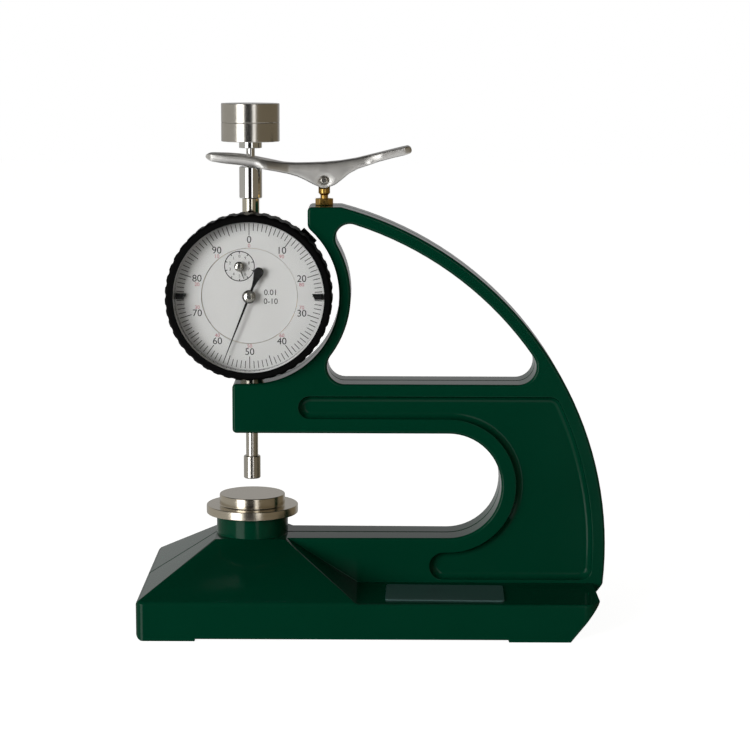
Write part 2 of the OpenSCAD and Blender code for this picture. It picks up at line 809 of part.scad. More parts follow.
// Fixed centre of the dial, on two feet
module inner_dial() {
    foot_r = 1;
    foot_x = 12;
    color([0.9, 0.9, 0.9]) facing() difference() {
        union() {
            rod(split_r - split_gap, inner_dial_f, inner_dial_face);
            for (x = [-foot_x, foot_x]) translate([x, 0, 0]) rod(foot_r, plate_front_face, inner_dial_face);
        }
        bore(arbor_r + room, inner_dial_f, inner_dial_face);
        translate(counter_at) bore(arbor_r + room, inner_dial_f, inner_dial_face);
    }
}

// Wire ring between case and bezel
module bezel_snap_ring() {
    color([0.7, 0.7, 0.72]) facing() translate([0, 0, snap_f])
        rotate_extrude() translate([case_r - seat, 0]) circle(snap_wire_d / 2);
}

clip_angle = 45;
clip_w = 6.3;
clip_l = 3.6;
clip_rise = 0.7;
clip_f = bezel_back - room - clip_l;
clip_head_rise = 1.9;
clip_seat_r = case_r + clip_head_rise;

// Block on the case that keeps the bezel from working loose
module bezel_clip() {
    color([0.05, 0.05, 0.05]) facing() rotate(clip_angle) difference() {
        translate([case_bore, -clip_w / 2, clip_f]) cube([bezel_r + clip_rise - case_bore, clip_w, clip_l]);
        bore(case_r + seat, clip_f, clip_f + clip_l);
        translate([0, 0, clip_f + clip_l / 2]) rotate([0, 90, 0]) {
            bore(screw_r + seat, case_r, clip_seat_r);
            rod(screw_head_r + seat, clip_seat_r, bezel_r + clip_rise + past);
        }
    }
}

module clip_screw() {
    color([0.3, 0.3, 0.3]) facing() rotate(clip_angle)
        translate([clip_seat_r, 0, clip_f + clip_l / 2]) rotate([0, 90, 0]) screw(clip_seat_r - case_bore);
}

// Black bezel with scalloped grip, a front lip and a bevelled edge
module bezel_ring() {
    scallop_r = 2.2;
    first_rib = -1.35;
    bevel = 0.9;
    color([0.04, 0.04, 0.04]) facing() difference() {
        turned([[bezel_bore, bezel_back], [bezel_r, bezel_back], [bezel_r, bezel_front - bevel],
            [bezel_r - bevel, bezel_front], [opening_r, bezel_front], [opening_r, lens_edge_f],
            [bezel_bore, lens_edge_f]]);
        for (i = [0 : bezel_scallops - 1])
            rotate((i + 0.5) * 360 / bezel_scallops + first_rib)
                translate([bezel_r - scallop_depth + scallop_r, 0, 0])
                    bore(scallop_r, bezel_back, bezel_front);
    }
}

// Ring that holds dial and lens in the bezel and turns on the case
module clamp_ring() {
    groove_r = snap_wire_d / 2 + clamp_run;
    flange_r = case_r - lens_skirt;
    color([0.65, 0.65, 0.66]) facing() difference() {
        turned([[clamp_bore, bezel_back], [bezel_bore - seat, bezel_back], [bezel_bore - seat, dial_ring_f],
            [flange_r, dial_ring_f], [flange_r, ring_back_f], [clamp_bore, ring_back_f]]);
        translate([0, 0, snap_f]) rotate_extrude() translate([case_r, 0]) circle(groove_r);
    }
}

// Turning dial ring with the scale
module dial_ring() {
    color([0.9, 0.9, 0.9]) facing() tube(bezel_bore - seat, split_r + split_gap, dial_ring_f, dial_face);
}

// Clear lens: a shallow dome on a skirt that stands on the dial ring
module lens() {
    edge_r = opening_r - clamp_run;
    steps = 8;
    inner_r = lens_skirt_r;
    function dome(r, top) = top - lens_rise * (r / edge_r) ^ 2;
    front = lens_edge_f + lens_rise;
    color([0.8, 0.9, 0.95, 0.3]) facing() turned(concat(
        [for (i = [0 : steps]) let (r = edge_r * i / steps) [r, dome(r, front)]],
        [[bezel_bore - seat, lens_edge_f - seat], [bezel_bore - seat, dial_face], [inner_r, dial_face],
            [inner_r, dome(inner_r, front - lens_t)]],
        [for (i = [steps - 1 : -1 : 0]) let (r = edge_r * i / steps) [r, dome(r, front - lens_t)]]));
}

marker_f = dial_face + room;
marker_gap = 0.2;
marker_r = lens_skirt_r - marker_gap;
marker_len = 3.8;
marker_w = 2;
marker_t = 0.3;
marker_h = 1.2;

// Tolerance marker that points inwards from the lens's skirt, drawn on the right
module marker() {
    slider_angle = 10;
    slider_w = 0.6;
    translate([0, 0, marker_f]) {
        rotate(-slider_angle / 2) rotate_extrude(angle = slider_angle)
            translate([marker_r - slider_w, 0]) square([slider_w, marker_h]);
        translate([0, 0, marker_h - marker_t]) linear_extrude(marker_t)
            polygon([[marker_r - slider_w / 2, -marker_w / 2], [marker_r - slider_w / 2, marker_w / 2],
                [marker_r - marker_len, marker_w / 2], [marker_r - marker_len + marker_w / 2, -marker_w / 2]]);
    }
}

module right_marker() { color([0.05, 0.05, 0.05]) facing() marker(); }

module left_marker() { color([0.05, 0.05, 0.05]) facing() mirror([1, 0, 0]) marker(); }

// Involute angle, in degrees
function involute(angle) = tan(angle) * 180 / PI - angle;

// Half the angle of a tooth at radius r
function half_tooth(teeth, shift, r) =
    let (base_r = pitch_r(teeth) * cos(pressure_angle))
    let (contact = acos(min(1, base_r / max(r, base_r))))
    (90 + 360 / PI * shift * tan(pressure_angle) - tooth_thinning * 90 / PI / gear_module) / teeth
        + involute(pressure_angle) - involute(contact);

// Outline of a spur gear with one tooth on the +x axis
function gear_outline(teeth, shift, steps) =
    let (root = pitch_r(teeth) - (dedendum - shift) * gear_module)
    let (tip = pitch_r(teeth) + (addendum + shift) * gear_module)
    [for (i = [0 : teeth - 1]) for (side = [-1, 1]) for (j = [0 : steps])
        let (k = side < 0 ? j : steps - j)
        let (r = root + (tip - root) * k / steps)
        let (a = 360 * i / teeth + side * half_tooth(teeth, shift, r))
        r * [cos(a), sin(a)]];

module gear(teeth, shift, steps, angle, f0, f1) {
    translate([0, 0, f0]) linear_extrude(f1 - f0) rotate(angle) polygon(gear_outline(teeth, shift, steps));
}

// A 100-tooth wheel with four round lightening holes, one tooth at the given angle
module wheel(angle) {
    hole_ring_r = pitch_r(wheel_teeth) * 0.55;
    hole_r = pitch_r(wheel_teeth) * 0.22;
    difference() {
        gear(wheel_teeth, -centre_shift, 1, angle, wheel_f, wheel_f + wheel_t);
        bore(arbor_r + seat, wheel_f, wheel_f + wheel_t);
        four(hole_ring_r, angle) bore(hole_r, wheel_f, wheel_f + wheel_t);
    }
}

hub_h = 1.3;
pinion_over = 0.4;
arbor_end_gap = 0.3;

// Pointer arbor with the 10-tooth pinion
module centre_arbor() {
    pinion_f = plate_back_face + arbor_end_gap;
    pinion_end = wheel_f + wheel_t + pinion_over;
    color([0.75, 0.75, 0.78]) facing() {
        rod(pivot_r, plate_back_f, pinion_f);
        gear(centre_teeth, centre_shift, 4, mesh_angle + 180 / centre_teeth, pinion_f, pinion_end);
        rod(arbor_r, pinion_end, pointer_f + hand_t + hub_h / 2);
    }
}

// Tapered pointer with a drop-shaped counterweight on its tail
module pointer() {
    root_w = 0.9;
    tip_w = 0.25;
    bulb_r = 1.7;
    disc_r = 1.6;
    bulb_at = tail_len - bulb_r;
    flank = [[bulb_r, bulb_at], [bulb_r * 0.94, bulb_at * 0.93], [bulb_r * 0.76, bulb_at * 0.82],
        [bulb_r * 0.5, bulb_at * 0.65], [root_w / 2, bulb_at * 0.4]];
    side = concat([for (p = flank) [p.x, -p.y]],
        [[root_w / 2, 0], [tip_w / 2, pointer_len - tip_w], [0, pointer_len]]);
    other_side = [for (i = [len(side) - 2 : -1 : 0]) [-side[i].x, side[i].y]];
    color([0.05, 0.05, 0.05]) facing() rotate(pointer_angle) difference() {
        union() {
            translate([0, 0, pointer_f]) linear_extrude(hand_t) polygon(concat(side, other_side));
            translate([0, -bulb_at, 0]) rod(bulb_r, pointer_f, pointer_f + hand_t);
            rod(disc_r, pointer_f, pointer_f + hand_t);
        }
        bore(arbor_r + seat, pointer_f, pointer_f + hand_t);
    }
}

// Domed cap that holds the pointer on its arbor
module pointer_hub() {
    r = 2.4;
    face = pointer_f + hand_t;
    color([0.8, 0.8, 0.8]) facing() difference() {
        turned([[0, face], [r, face], [r, face + hub_h * 0.35], [r * 0.7, face + hub_h * 0.8],
            [r * 0.35, face + hub_h], [0, face + hub_h]]);
        rod(arbor_r + seat, face - past, face + hub_h / 2 + seat);
    }
}

counter_arbor_end = counter_hand_f + hand_t + arbor_end_gap;

// Counter arbor: rack pinion behind the plate, wheel seat and hand in front
module counter_arbor() {
    color([0.75, 0.75, 0.78]) facing() translate(counter_at) {
        rod(pivot_r, bridge_f, -pinion_half);
        gear(rack_pinion_teeth, rack_shift, 4, 0, -pinion_half, pinion_half);
        rod(arbor_r, pinion_half, counter_arbor_end);
    }
}

module counter_wheel() {
    color([0.8, 0.68, 0.4]) facing() translate(counter_at) wheel(mesh_angle + 180);
}

// Small hand that counts the pointer's turns
module counter_hand() {
    hub_r = 1.7;
    hub_top = counter_hand_f + hand_t + 0.5;
    root_w = 0.7;
    tip_w = 0.24;
    color([0.35, 0.35, 0.33]) facing() translate(counter_at) rotate(counter_angle) difference() {
        union() {
            translate([0, 0, counter_hand_f]) linear_extrude(hand_t)
                polygon([[-root_w / 2, 0], [root_w / 2, 0], [tip_w / 2, counter_len],
                    [-tip_w / 2, counter_len]]);
            rod(hub_r, counter_hand_f, hub_top);
        }
        rod(arbor_r + seat, counter_hand_f - past, counter_arbor_end + seat);
    }
}

// Arbor of the take-up wheel with the hairspring's collet
module takeup_arbor() {
    collet_f = wheel_f + wheel_t;
    color([0.75, 0.75, 0.78]) facing() translate(takeup_at) {
        rod(pivot_r, plate_back_f, plate_back_face + arbor_end_gap);
        rod(arbor_r, plate_back_face + arbor_end_gap, collet_f);
        rod(collet_r, collet_f, plate_front_f - arbor_end_gap);
        rod(pivot_r, plate_front_f - arbor_end_gap, plate_front_face);
    }
}

module takeup_wheel() {
    color([0.8, 0.68, 0.4]) facing() translate(takeup_at) wheel(mesh_angle);
}

stud_r = 1;
stud_len = 5;

// Cut that leaves the rack's teeth on the spindle's left side, in side view
module rack_cut_side() {
    mid = dial_z + counter_y;
    below = ceil((travel - reading + rack_margin) / rack_pitch);
    above = ceil((reading + rack_margin) / rack_pitch);
    slope = tan(pressure_angle);
    root = -rack_line + dedendum * gear_module;
    tip = -rack_line - addendum * gear_module;
    half = rack_pitch / 4 + tooth_thinning / 2;
    top = mid + (above + 0.5) * rack_pitch;
    foot = mid - (below + 0.5) * rack_pitch;
    polygon(concat([[-spindle_d, top], [-spindle_d, foot], [tip, foot]],
        [for (i = [-below : above]) for (corner = [[tip, -1], [root, -1], [root, 1], [tip, 1]])
            [corner[0], mid + i * rack_pitch + corner[1] * (half - (corner[0] + rack_line) * slope)]],
        [[tip, top]]));
}

// Spindle with the rack, bored at both ends for the foot and the weight rod
module rack_spindle() {
    color([0.75, 0.75, 0.75]) on_axis() difference() {
        rod(spindle_d / 2, foot_top, cap_inner_top);
        side_slab(2 * spindle_d) rack_cut_side();
        rod(stud_r + seat, foot_top - past, foot_top + stud_len + hole_end);
        rod(stud_r + seat, cap_inner_top - stud_len - hole_end, cap_inner_top + past);
        translate([0, 0, guide_pin_z]) rotate([0, 90, 0]) rod(rail_gap_half + seat, 0, spindle_d);
    }
}

// Contact foot with a flat face
module contact_foot() {
    edge = 0.25;
    r = foot_d / 2;
    color([0.7, 0.69, 0.66]) on_axis() turned([[0, foot_z], [r - edge, foot_z], [r, foot_z + edge],
        [r, foot_top - edge], [r - edge, foot_top], [stud_r, foot_top], [stud_r, foot_top + stud_len],
        [0, foot_top + stud_len]]);
}

// Pin in the spindle that runs in the guide rail
module guide_pin() {
    color([0.75, 0.75, 0.78]) on_axis() translate([0, 0, guide_pin_z]) rotate([0, 90, 0])
        rod(rail_gap_half, 0, guide_pin_len);
}

// Cap that covers the fixed sleeve and moves with the spindle
module cap_sleeve() {
    inner_r = sleeve_r + room;
    edge = 0.3;
    r = cap_d / 2;
    color([0.8, 0.8, 0.8]) on_axis() difference() {
        turned([[0, cap_top - cap_len], [r - edge, cap_top - cap_len], [r, cap_top - cap_len + edge],
            [r, cap_top - edge], [r - edge, cap_top], [0, cap_top]]);
        rod(inner_r, cap_top - cap_len - past, cap_inner_top);
        bore(stud_r + seat, cap_inner_top, cap_top);
    }
}

// Rod with the lifting collar and the stud that carries the weights
module weight_rod() {
    r = rod_d / 2;
    collar_r = collar_d / 2;
    stud_top = weight_joint + weight_t / 2;
    stud_foot = cap_inner_top - stud_len;
    color([0.75, 0.75, 0.73]) on_axis() turned([[0, stud_foot], [stud_r, stud_foot], [stud_r, cap_top],
        [r, cap_top], [r, collar_z], [collar_r, collar_z], [collar_r, weight_z], [r, weight_z],
        [r, stud_top], [0, stud_top]]);
}

// One dead weight with bevelled edges, bored to a given height
module dead_weight(z, bore_top) {
    edge = 0.35;
    r = weight_d / 2;
    color([0.65, 0.64, 0.62]) on_axis() difference() {
        turned([[0, z], [r - edge, z], [r, z + edge], [r, z + weight_t - edge], [r - edge, z + weight_t],
            [0, z + weight_t]]);
        rod(rod_d / 2 + seat, z - past, bore_top);
    }
}

module lower_weight() { dead_weight(weight_z, weight_joint + past); }

module upper_weight() { dead_weight(weight_joint, weight_joint + weight_t / 2 + seat); }

// Side view of the lever about its pivot: fork on the left, lobe at the pin, thumb pad on the right
lever_tip = [-41.3, 8];
lever_top = [[30.7, 10.4], [30.3, 11.5], [29.3, 12], [24.7, 10.9], [20, 9.7], [16, 8.8], [11, 7.6], [5.5, 6.7],
    [0, 6.2], [-5, 6], [-10, 5.9], [-14.4, 6.1], [-20, 7.1], [-25, 8.1], [-29.5, 8.8], [-34, 9.1], [-40, 9.2],
    [-41, 8.9]];
lever_under = [[-40.6, 7.2], [-39.1, 6.5], [-34.9, 5.8], [-29.8, 5.3], [-23.1, 4.4], [-15.9, 2.9], [-12.3, 2.1],
    [-9.2, 1.2], [-6.7, 0.1], [-4.3, -1.2]];
lever_under_right = [[3.8, -1.6], [6.2, 0.2], [8.7, 2.3], [11.8, 4], [15.4, 5.2], [19, 6.5], [24.1, 7.9],
    [28.8, 9], [30.2, 9.5]];
tongue_gap = 0.2;
slot_half = tongue_t / 2 + tongue_gap;
cheek_half = slot_half + cheek_t;

module lever_side() {
    lobe = [for (a = [-125 : 10 : -55]) lobe_r * [cos(a), sin(a)]];
    translate([pivot_reach, pivot_z])
        polygon(concat([lever_tip], lever_under, lobe, lever_under_right, lever_top));
}

// Plan view of the lever
module lever_plan() {
    fork_half = fork_w / 2;
    pad_half = pad_w / 2;
    tip_x = lever_tip.x;
    fork_end = -20;
    waist_x = -12;
    pad_start = 15;
    pad_full = 20;
    end_x = lever_top[0].x;
    tip_cut = 2;
    end_cut = 2.5;
    translate([pivot_reach, 0])
        polygon([[tip_x, -fork_half + tip_cut], [tip_x + tip_cut, -fork_half], [fork_end, -fork_half],
            [waist_x, -cheek_half], [pad_start, -cheek_half], [pad_full, -pad_half],
            [end_x - end_cut, -pad_half], [end_x, -pad_half + end_cut], [end_x, pad_half - end_cut],
            [end_x - end_cut, pad_half],
            [pad_full, pad_half], [pad_start, cheek_half], [waist_x, cheek_half], [fork_end, fork_half],
            [tip_x + tip_cut, fork_half], [tip_x, fork_half - tip_cut]]);
}

// Forked lever that raises the collar when its pad is pressed
module lift_lever() {
    fork_gap = 0.5;
    fork_slot = rod_d / 2 + fork_gap;
    slot_end = 1.2;
    pocket_half = cap_d / 2 + 0.6;
    pocket_l = cap_d / 2 + 2.4;
    pocket_gap = 0.45;
    crown_r = 14;
    roof = lobe_r + room;
    tall = 40;
    color([0.85, 0.86, 0.88]) on_axis() difference() {
        intersection() {
            side_slab(max(fork_w, pad_w)) lever_side();
            translate([0, 0, pivot_z - tall / 2]) linear_extrude(tall) lever_plan();
        }
        translate([slot_end, 0, 0]) bore(fork_slot, cap_top - tall, cap_top + tall);
        translate([-tall + slot_end, -fork_slot, cap_top - tall / 2]) cube([tall, 2 * fork_slot, tall]);
        difference() {
            translate([-pocket_l, -pocket_half, cap_top - crown_r])
                cube([2 * pocket_l, 2 * pocket_half, 2 * crown_r]);
            translate([0, 0, cap_top + pocket_gap + crown_r]) rotate([90, 0, 0])
                bore(crown_r, -pocket_half, pocket_half);
        }
        translate([pivot_reach - 2 * roof, -slot_half, pivot_z - tall])
            cube([4 * roof, 2 * slot_half, tall + roof]);
        translate([pivot_reach, 0, pivot_z]) rotate([90, 0, 0])
            bore(pin_d / 2 + seat, -cheek_half, cheek_half);
    }
}

// Pin that the lever turns on, fixed in its cheeks
module pivot_pin() {
    color([0.6, 0.6, 0.6]) on_axis() translate([pivot_reach, 0, pivot_z]) rotate([90, 0, 0])
        rod(pin_d / 2, -cheek_half, cheek_half);
}

frame_casting();
anvil();
anvil_screw();
stem_screw();
lever_post();
post_nut();
case_body();
back_cover();
cover_screws();
stem();
lower_bush();
top_sleeve();
upper_bush();
back_plate();
front_plate();
plate_pillars();
rear_bridge();
movement_screws();
guide_rail();
hairspring();
hairspring_stud();
inner_dial();
bezel_snap_ring();
bezel_clip();
clip_screw();
bezel_ring();
clamp_ring();
dial_ring();
lens();
left_marker();
right_marker();
centre_arbor();
pointer();
pointer_hub();
counter_arbor();
counter_wheel();
counter_hand();
takeup_arbor();
takeup_wheel();
rack_spindle();
contact_foot();
guide_pin();
cap_sleeve();
weight_rod();
lower_weight();
upper_weight();
lift_lever();
pivot_pin();
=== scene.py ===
"""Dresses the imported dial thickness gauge: finished pieces, procedural materials and a white studio."""

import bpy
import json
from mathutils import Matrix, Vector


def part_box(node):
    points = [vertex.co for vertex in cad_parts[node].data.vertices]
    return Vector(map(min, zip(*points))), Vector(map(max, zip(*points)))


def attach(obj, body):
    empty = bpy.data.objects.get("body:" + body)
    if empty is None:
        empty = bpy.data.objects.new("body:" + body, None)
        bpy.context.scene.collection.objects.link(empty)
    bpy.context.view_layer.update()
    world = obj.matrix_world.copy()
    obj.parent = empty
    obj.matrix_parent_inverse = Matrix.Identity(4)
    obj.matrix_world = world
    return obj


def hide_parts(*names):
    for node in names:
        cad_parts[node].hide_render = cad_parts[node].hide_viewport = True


bl_info = {
    "name": "Dial thickness gauge",
    "version": (1, 0, 0),
    "blender": (4, 5, 0),
    "location": "View3D > Sidebar > Gauge",
    "description": "Finishes the pieces of a bench thickness gauge and sets up its studio",
    "category": "Object",
}

import json
import math

import bpy
from mathutils import Vector

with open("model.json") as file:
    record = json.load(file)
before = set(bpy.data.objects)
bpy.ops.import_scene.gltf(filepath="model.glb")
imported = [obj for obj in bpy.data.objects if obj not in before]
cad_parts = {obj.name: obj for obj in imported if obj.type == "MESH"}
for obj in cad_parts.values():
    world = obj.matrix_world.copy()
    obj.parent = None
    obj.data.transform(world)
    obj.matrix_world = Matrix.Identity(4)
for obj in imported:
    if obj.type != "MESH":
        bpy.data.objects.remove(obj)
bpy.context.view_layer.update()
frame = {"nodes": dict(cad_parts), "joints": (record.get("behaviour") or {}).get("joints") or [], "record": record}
MM = 0.001
JOINTS = {joint["name"]: joint for joint in frame["joints"]}
DIAL = Vector(JOINTS["bezel_turn"]["pos_m"])
COUNTER = Vector(JOINTS["counter_turn"]["pos_m"])
PIVOT = Vector(JOINTS["lever_tilt"]["pos_m"])
DIAL_FACE = -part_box("dial_ring")[0].y
INNER_FACE = -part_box("inner_dial")[0].y
# Height of the plinth's ledge above the bench
LEDGE = 13.25 * MM
# Height of a figure as a share of its font size
FIGURE_SHARE = 0.69


class CastingSettings(bpy.types.PropertyGroup):
    """Green casting"""

    paint: bpy.props.FloatVectorProperty(
        name="Paint", description="Colour of the enamel", subtype="COLOR", size=3,
        default=(0.0002, 0.040, 0.0190)
    )
    plinth_round: bpy.props.FloatProperty(
        name="Plinth edges", description="Radius of the plinth's edges", subtype="DISTANCE", default=0.9 * MM
    )
    web_round: bpy.props.FloatProperty(
        name="Web edges", description="Radius of the web's edges", subtype="DISTANCE", default=1.1 * MM
    )
    fine_round: bpy.props.FloatProperty(
        name="Fine edges", description="Radius of ridges and inner corners", subtype="DISTANCE",
        default=0.5 * MM
    )
    panel_round: bpy.props.FloatProperty(
        name="Panel floors", description="Radius round the floors of the sunk panels", subtype="DISTANCE",
        default=2.5 * MM
    )
    panel_rim: bpy.props.FloatProperty(
        name="Panel rims", description="Radius of the rims of the sunk panels", subtype="DISTANCE",
        default=0.4 * MM
    )
    bore_round: bpy.props.FloatProperty(
        name="Bore edges", description="Radius of the rims of the bores", subtype="DISTANCE",
        default=0.2 * MM
    )
    seam_width: bpy.props.FloatProperty(
        name="Seam", description="Width of the mould's parting line", subtype="DISTANCE", default=1.6 * MM
    )


class MetalSettings(bpy.types.PropertyGroup):
    """Bare metals"""

    steel: bpy.props.FloatVectorProperty(
        name="Steel", description="Colour of the turned steel", subtype="COLOR", size=3,
        default=(0.60, 0.575, 0.53)
    )
    faced_steel: bpy.props.FloatVectorProperty(
        name="Anvil", description="Colour of the faced anvil", subtype="COLOR", size=3,
        default=(0.62, 0.565, 0.47)
    )
    chrome: bpy.props.FloatVectorProperty(
        name="Chrome", description="Colour of the plated pieces", subtype="COLOR", size=3,
        default=(0.78, 0.78, 0.77)
    )
    nickel: bpy.props.FloatVectorProperty(
        name="Nickel", description="Colour of the fixed tubes", subtype="COLOR", size=3,
        default=(0.72, 0.68, 0.58)
    )
    aluminium: bpy.props.FloatVectorProperty(
        name="Aluminium", description="Colour of the lever", subtype="COLOR", size=3,
        default=(0.72, 0.71, 0.69)
    )
    brass: bpy.props.FloatVectorProperty(
        name="Brass", description="Colour of the brass pieces", subtype="COLOR", size=3,
        default=(0.50, 0.31, 0.08)
    )
    edge: bpy.props.FloatProperty(
        name="Edges", description="Width of the small bevels", subtype="DISTANCE", default=0.2 * MM
    )


class DialSettings(bpy.types.PropertyGroup):
    """Dial, hands and bezel"""

    face: bpy.props.FloatVectorProperty(
        name="Dial", description="Colour of the dial", subtype="COLOR", size=3, default=(0.80, 0.80, 0.79)
    )
    ink: bpy.props.FloatVectorProperty(
        name="Ink", description="Colour of scale and numerals", subtype="COLOR", size=3,
        default=(0.012, 0.012, 0.013)
    )
    red_ink: bpy.props.FloatVectorProperty(
        name="Red ink", description="Colour of the reversed numerals", subtype="COLOR", size=3,
        default=(0.55, 0.19, 0.22)
    )
    black: bpy.props.FloatVectorProperty(
        name="Black", description="Colour of bezel and hands", subtype="COLOR", size=3,
        default=(0.0018, 0.0018, 0.0019)
    )
    numeral: bpy.props.FloatProperty(
        name="Numerals", description="Height of the black numerals", subtype="DISTANCE", default=2.35 * MM
    )
    red_numeral: bpy.props.FloatProperty(
        name="Red numerals", description="Height of the red numerals", subtype="DISTANCE", default=1.25 * MM
    )
    scale_r: bpy.props.FloatProperty(
        name="Scale", description="Outer radius of the scale", subtype="DISTANCE", default=25.4 * MM
    )
    line: bpy.props.FloatProperty(
        name="Lines", description="Width of the scale's lines", subtype="DISTANCE", default=0.24 * MM
    )


class PlateSettings(bpy.types.PropertyGroup):
    """Bare plate on the ledge"""

    length: bpy.props.FloatProperty(
        name="Length", description="Length of the plate", subtype="DISTANCE", default=41 * MM
    )
    width: bpy.props.FloatProperty(
        name="Width", description="Width of the plate", subtype="DISTANCE", default=21 * MM
    )
    turn: bpy.props.FloatProperty(
        name="Turn", description="Turn of the plate on the ledge", subtype="ANGLE",
        default=math.radians(-1.5)
    )
    colour: bpy.props.FloatVectorProperty(
        name="Plate", description="Colour of the plate", subtype="COLOR", size=3,
        default=(0.055, 0.11, 0.105)
    )


class StudioSettings(bpy.types.PropertyGroup):
    """Camera, lamps and background"""

    focal: bpy.props.FloatProperty(
        name="Lens", description="Focal length in millimetres", default=101.57
    )
    pitch: bpy.props.FloatProperty(
        name="Pitch", description="Tilt of the camera below the horizon", subtype="ANGLE", default=0.153106
    )
    roll: bpy.props.FloatProperty(
        name="Roll", description="Turn of the camera about its own axis", subtype="ANGLE", default=0.003668
    )
    key_radiance: bpy.props.FloatProperty(
        name="Key", description="Brightness of the tall soft lamp on the left", default=10.0
    )
    card_radiance: bpy.props.FloatProperty(
        name="Card", description="Brightness of the tall lamp as polish reflects it", default=3.2
    )
    fill_radiance: bpy.props.FloatProperty(
        name="Fill", description="Brightness of the narrow lamp on the right", default=1.7
    )
    behind: bpy.props.FloatProperty(
        name="Behind", description="Brightness of the wall behind the object as its polish reflects it",
        default=0.42
    )
    left: bpy.props.FloatVectorProperty(
        name="Left", description="Light from the room's left side", subtype="COLOR", size=3,
        default=(0.44, 0.43, 0.40)
    )
    right: bpy.props.FloatVectorProperty(
        name="Right", description="Light from the room's right side", subtype="COLOR", size=3,
        default=(0.20, 0.17, 0.12)
    )
    dark: bpy.props.FloatProperty(
        name="Dark", description="Brightness of the ceiling and of the room round the camera", default=0.02
    )
    table: bpy.props.FloatProperty(
        name="Table", description="Brightness of the table as downward polish reflects it", default=0.85
    )


SETTINGS = {
    "gauge_casting": CastingSettings,
    "gauge_metal": MetalSettings,
    "gauge_dial": DialSettings,
    "gauge_plate": PlateSettings,
    "gauge_studio": StudioSettings,
}


def deselect():
    """Leaves edit mode and deselects every object."""
    if bpy.context.object and bpy.context.object.mode != "OBJECT":
        bpy.ops.object.mode_set(mode="OBJECT")
    bpy.ops.object.select_all(action="DESELECT")


def make_active(piece):
    """Selects one object alone."""
    deselect()
    piece.select_set(True)
    bpy.context.view_layer.objects.active = piece


def edit(piece):
    """Opens a piece in edit mode with all of it selected."""
    make_active(piece)
    bpy.ops.object.mode_set(mode="EDIT")
    bpy.ops.mesh.select_mode(type="VERT")
    bpy.ops.mesh.select_all(action="SELECT")


def done_editing():
    bpy.ops.object.mode_set(mode="OBJECT")


def select_only(piece, chosen, kind="VERT"):
    """Opens a piece in edit mode with only the points or faces selected that a test chooses."""
    edit(piece)
    bpy.ops.mesh.select_mode(type=kind)
    bpy.ops.mesh.select_all(action="DESELECT")
    done_editing()
    for element in piece.data.vertices if kind == "VERT" else piece.data.polygons:
        element.select = chosen(element)
    bpy.ops.object.mode_set(mode="EDIT")


def merge_and_point_outwards():
    """In edit mode: joins doubled points and turns the faces outwards."""
    bpy.ops.mesh.select_all(action="SELECT")
    bpy.ops.mesh.remove_doubles(threshold=1e-6)
    bpy.ops.mesh.normals_make_consistent(inside=False)


def bevelled(piece, width, segments=3, angle=math.radians(30), weighted=False):
    """Rounds the sharp edges of a piece and shades it smooth between them."""
    make_active(piece)
    bpy.ops.object.modifier_add(type="BEVEL")
    bevel = piece.modifiers[-1]
    bevel.width = width
    bevel.segments = segments
    bevel.limit_method = "WEIGHT" if weighted else "ANGLE"
    bevel.angle_limit = angle
    bevel.use_clamp_overlap = not weighted
    bevel.loop_slide = False
    bpy.ops.object.modifier_apply(modifier=bevel.name)
    return smoothed(piece)


def weigh_edges(piece, widest, least_angle, rounding):
    """Gives each edge that is sharp enough the share of the widest rounding that its place calls for."""
    mesh = piece.data
    faces_at = {}
    for face in mesh.polygons:
        for key in face.edge_keys:
            faces_at.setdefault(key, []).append(face)
    weights = mesh.attributes.new("bevel_weight_edge", "FLOAT", "EDGE")
    for edge in mesh.edges:
        faces = faces_at[edge.key]
        if faces[0].normal.angle(faces[1].normal, 0) < least_angle:
            continue
        middle = (mesh.vertices[edge.vertices[0]].co + mesh.vertices[edge.vertices[1]].co) / 2
        weights.data[edge.index].value = rounding(middle, faces) / widest


def smoothed(piece, angle=math.radians(35)):
    """Shades a piece smooth up to an angle, with the large faces kept flat."""
    make_active(piece)
    bpy.ops.object.shade_smooth_by_angle(angle=angle)
    bpy.ops.object.modifier_add(type="WEIGHTED_NORMAL")
    even = piece.modifiers[-1]
    even.keep_sharp = True
    even.weight = 90
    bpy.ops.object.modifier_apply(modifier=even.name)
    return piece


def evenly_meshed(piece, grain):
    """Meshes a piece anew with even small faces."""
    make_active(piece)
    bpy.ops.object.modifier_add(type="REMESH")
    even = piece.modifiers[-1]
    even.mode = "VOXEL"
    even.voxel_size = grain
    bpy.ops.object.modifier_apply(modifier=even.name)
    return piece


def cast_smooth(piece, flank_rounds, rounds):
    """Softens an evenly meshed piece like a hand-polished casting, its flanks most."""
    make_active(piece)
    for turns, whole in ((flank_rounds, False), (rounds, True)):
        bpy.ops.object.modifier_add(type="SMOOTH")
        soft = piece.modifiers[-1]
        soft.factor = 0.5
        soft.iterations = turns
        soft.use_x = whole
        soft.use_z = whole
        bpy.ops.object.modifier_apply(modifier=soft.name)
    bpy.ops.object.shade_smooth()
    return piece


def finish_piece(piece, name, body, slot, finish, *nodes):
    """Names a piece, gives it its finish and hangs it on its body."""
    piece.name = name
    piece.data.name = name
    piece.data.materials.clear()
    piece.data.materials.append(finish_named(finish))
    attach(piece, body)
    if nodes:
        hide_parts(*nodes)
    return piece


def copy_of(node):
    """A welded copy of a CAD node with flat faces joined, ready to be modelled on."""
    piece = bpy.data.objects.new("copy", frame["nodes"][node].data.copy())
    bpy.context.scene.collection.objects.link(piece)
    edit(piece)
    bpy.ops.mesh.customdata_custom_splitnormals_clear()
    bpy.ops.mesh.remove_doubles(threshold=1e-7)
    bpy.ops.mesh.dissolve_limited(angle_limit=math.radians(0.4))
    done_editing()
    return piece


